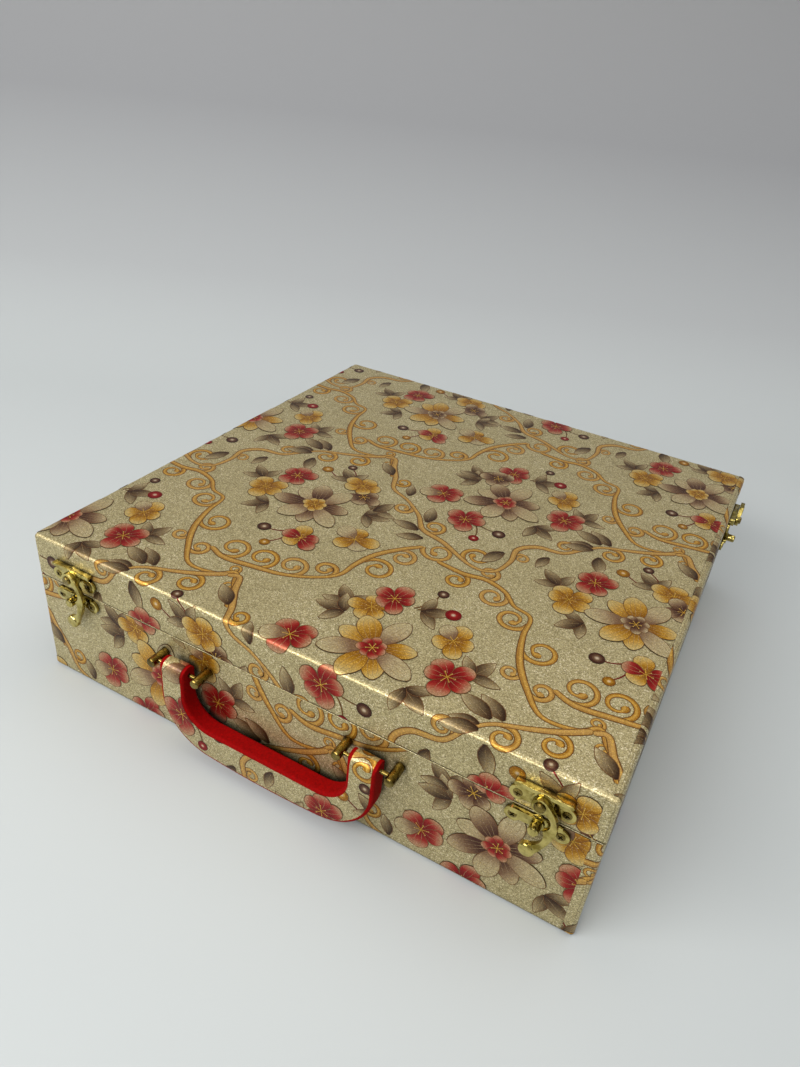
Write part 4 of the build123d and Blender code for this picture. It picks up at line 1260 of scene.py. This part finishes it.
def setScrews():
    pattern, turns = modelScrew(), screwPlan["turns"]
    for name, (body, places) in screwPlan["groups"].items():
        copies = []
        for number, (place, normal) in enumerate(places):
            copy = newObject(f"{name}_{number}", pattern.data.copy())
            aim = Vector(normal).to_track_quat("Z", "Y").to_matrix().to_4x4()
            spin = Matrix.Rotation(math.radians(turns[(number * 3 + len(name)) % len(turns)]), 4, "Z")
            copy.data.transform(Matrix.Translation(Vector(place) / mm) @ aim @ spin @ Matrix.Scale(1 / mm, 4))
            copies.append(copy)
        joined = joinPieces(copies, name + "_cross")
        paint(joined, agedBrass)
        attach(joined, body)
        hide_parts(name)
    bpy.data.objects.remove(pattern)


setScrews()
print("screws set")

# Camera, as solved from the photo
cameraPlace = {
    "location": (0.15405, -0.37431, 0.31923),
    "right": (0.87421809, 0.47685063, 0.09141234),
    "up": (-0.32603429, 0.437026, 0.83827795),
    "back": (0.3597838, -0.7626413, 0.53752569),
    "lens": 26.81, "sensor": 36, "near": 0.01,
}


def makeCamera():
    camera = newObject("camera", bpy.data.cameras.new("camera"))
    turn = Matrix((cameraPlace["right"], cameraPlace["up"], cameraPlace["back"])).transposed().to_4x4()
    camera.matrix_world = Matrix.Translation(cameraPlace["location"]) @ turn
    camera.data.sensor_fit = "VERTICAL"
    camera.data.sensor_height = cameraPlace["sensor"]
    camera.data.lens = cameraPlace["lens"]
    camera.data.clip_start = cameraPlace["near"]
    bpy.context.scene.camera = camera


makeCamera()

# Stage: a pale paper sweep behind the box, square to the camera, with painted shade that darkens the paper from the
# floor up the curve; tones are heights in metres and colours
stageLook = {
    # painted shade: the paper's colour darkens from the floor up the curve to the wall, and lifts slightly higher up
    "tones": [(0.0, srgb(181, 187, 188)), (0.06, srgb(166, 170, 172)), (0.22, srgb(144, 146, 149)),
              (0.5, srgb(156, 157, 159))],
    "backdrop": srgb(206, 208, 208),  # seen past the sweep
    "roughness": 0.75, "gap": 0.0002,
    "curveStart": 0.30, "curveRadius": 0.45, "curveSteps": 24, "wallHeight": 3.0, "halfWidth": 4.0, "front": 2.5,
}


def makeStage():
    look = stageLook
    away = math.atan2(-cameraPlace["back"][1], -cameraPlace["back"][0])
    ahead = Vector((math.cos(away), math.sin(away), 0))
    across = Vector((ahead.y, -ahead.x, 0))
    start, radius = look["curveStart"], look["curveRadius"]
    profile = [(-look["front"], 0.0), (start, 0.0)]
    profile += [(start + radius * math.sin(a), radius * (1 - math.cos(a)))
                for a in np.linspace(0, math.pi / 2, look["curveSteps"] + 1)[1:]]
    profile.append((start + radius, look["wallHeight"]))
    points = []
    for along, up in profile:
        for side in (-1, 1):
            spot = ahead * along + across * side * look["halfWidth"]
            points.append((spot.x, spot.y, up - look["gap"]))
    faces = [(2 * k, 2 * k + 1, 2 * k + 3, 2 * k + 2) for k in range(len(profile) - 1)]
    mesh = bpy.data.meshes.new("paper_sweep")
    mesh.from_pydata(points, [], faces)
    mesh.shade_smooth()
    sweep = newObject("paper_sweep", mesh)
    material, shader = newMaterial("stage_paper", look["tones"][0][1], 0.0, look["roughness"])
    split = addNode(material, "ShaderNodeSeparateXYZ")
    link(material, objectCoords(material), split.inputs["Vector"])
    link(material, ramp(material, split.outputs["Z"], look["tones"]), shader.inputs["Base Color"])
    paint(sweep, material)


makeStage()

# Two soft lamps, each with its place, size in metres and watts, and a world that is paler above
lampPlan = {
    "tint": (1.0, 0.975, 0.95),
    "aim": (0, 0, 0.04),
    "lamps": [
        ("window", (-0.40, -0.98, 0.86), (1.3, 0.34), 16.0),
        ("ceiling", (0.16, 0.42, 1.58), (1.6, 1.6), 12.5),
    ],
    "worldTones": [(0.02, (0.14, 0.125, 0.11, 1)), (0.6, (1.0, 0.99, 0.98, 1))],
    "worldStrength": 0.68,
}


def makeLamps():
    for name, place, size, power in lampPlan["lamps"]:
        data = bpy.data.lights.new(name, "AREA")
        data.shape = "RECTANGLE"
        data.size, data.size_y = size
        data.energy = power
        data.color = lampPlan["tint"]
        lamp = newObject(name, data)
        lamp.location = place
        lamp.rotation_euler = (Vector(lampPlan["aim"]) - Vector(place)).to_track_quat("-Z", "Y").to_euler()


def makeWorld():
    world = bpy.context.scene.world or bpy.data.worlds.new("studio")
    bpy.context.scene.world = world
    world.use_nodes = True
    background = world.node_tree.nodes["Background"]
    split = addNode(world, "ShaderNodeSeparateXYZ")
    link(world, addNode(world, "ShaderNodeTexCoord").outputs["Generated"], split.inputs["Vector"])
    link(world, ramp(world, split.outputs["Z"], lampPlan["worldTones"]), background.inputs["Color"])
    background.inputs["Strength"].default_value = lampPlan["worldStrength"]
    seen = addNode(world, "ShaderNodeBackground", Color=stageLook["backdrop"])
    choose = addNode(world, "ShaderNodeMixShader")
    link(world, addNode(world, "ShaderNodeLightPath").outputs["Is Camera Ray"], choose.inputs[0])
    link(world, background.outputs[0], choose.inputs[1])
    link(world, seen.outputs[0], choose.inputs[2])
    link(world, choose.outputs[0], world.node_tree.nodes["World Output"].inputs["Surface"])


makeLamps()
makeWorld()
print("stage and lamps set")
bpy.context.scene.view_settings.view_transform = "Standard"
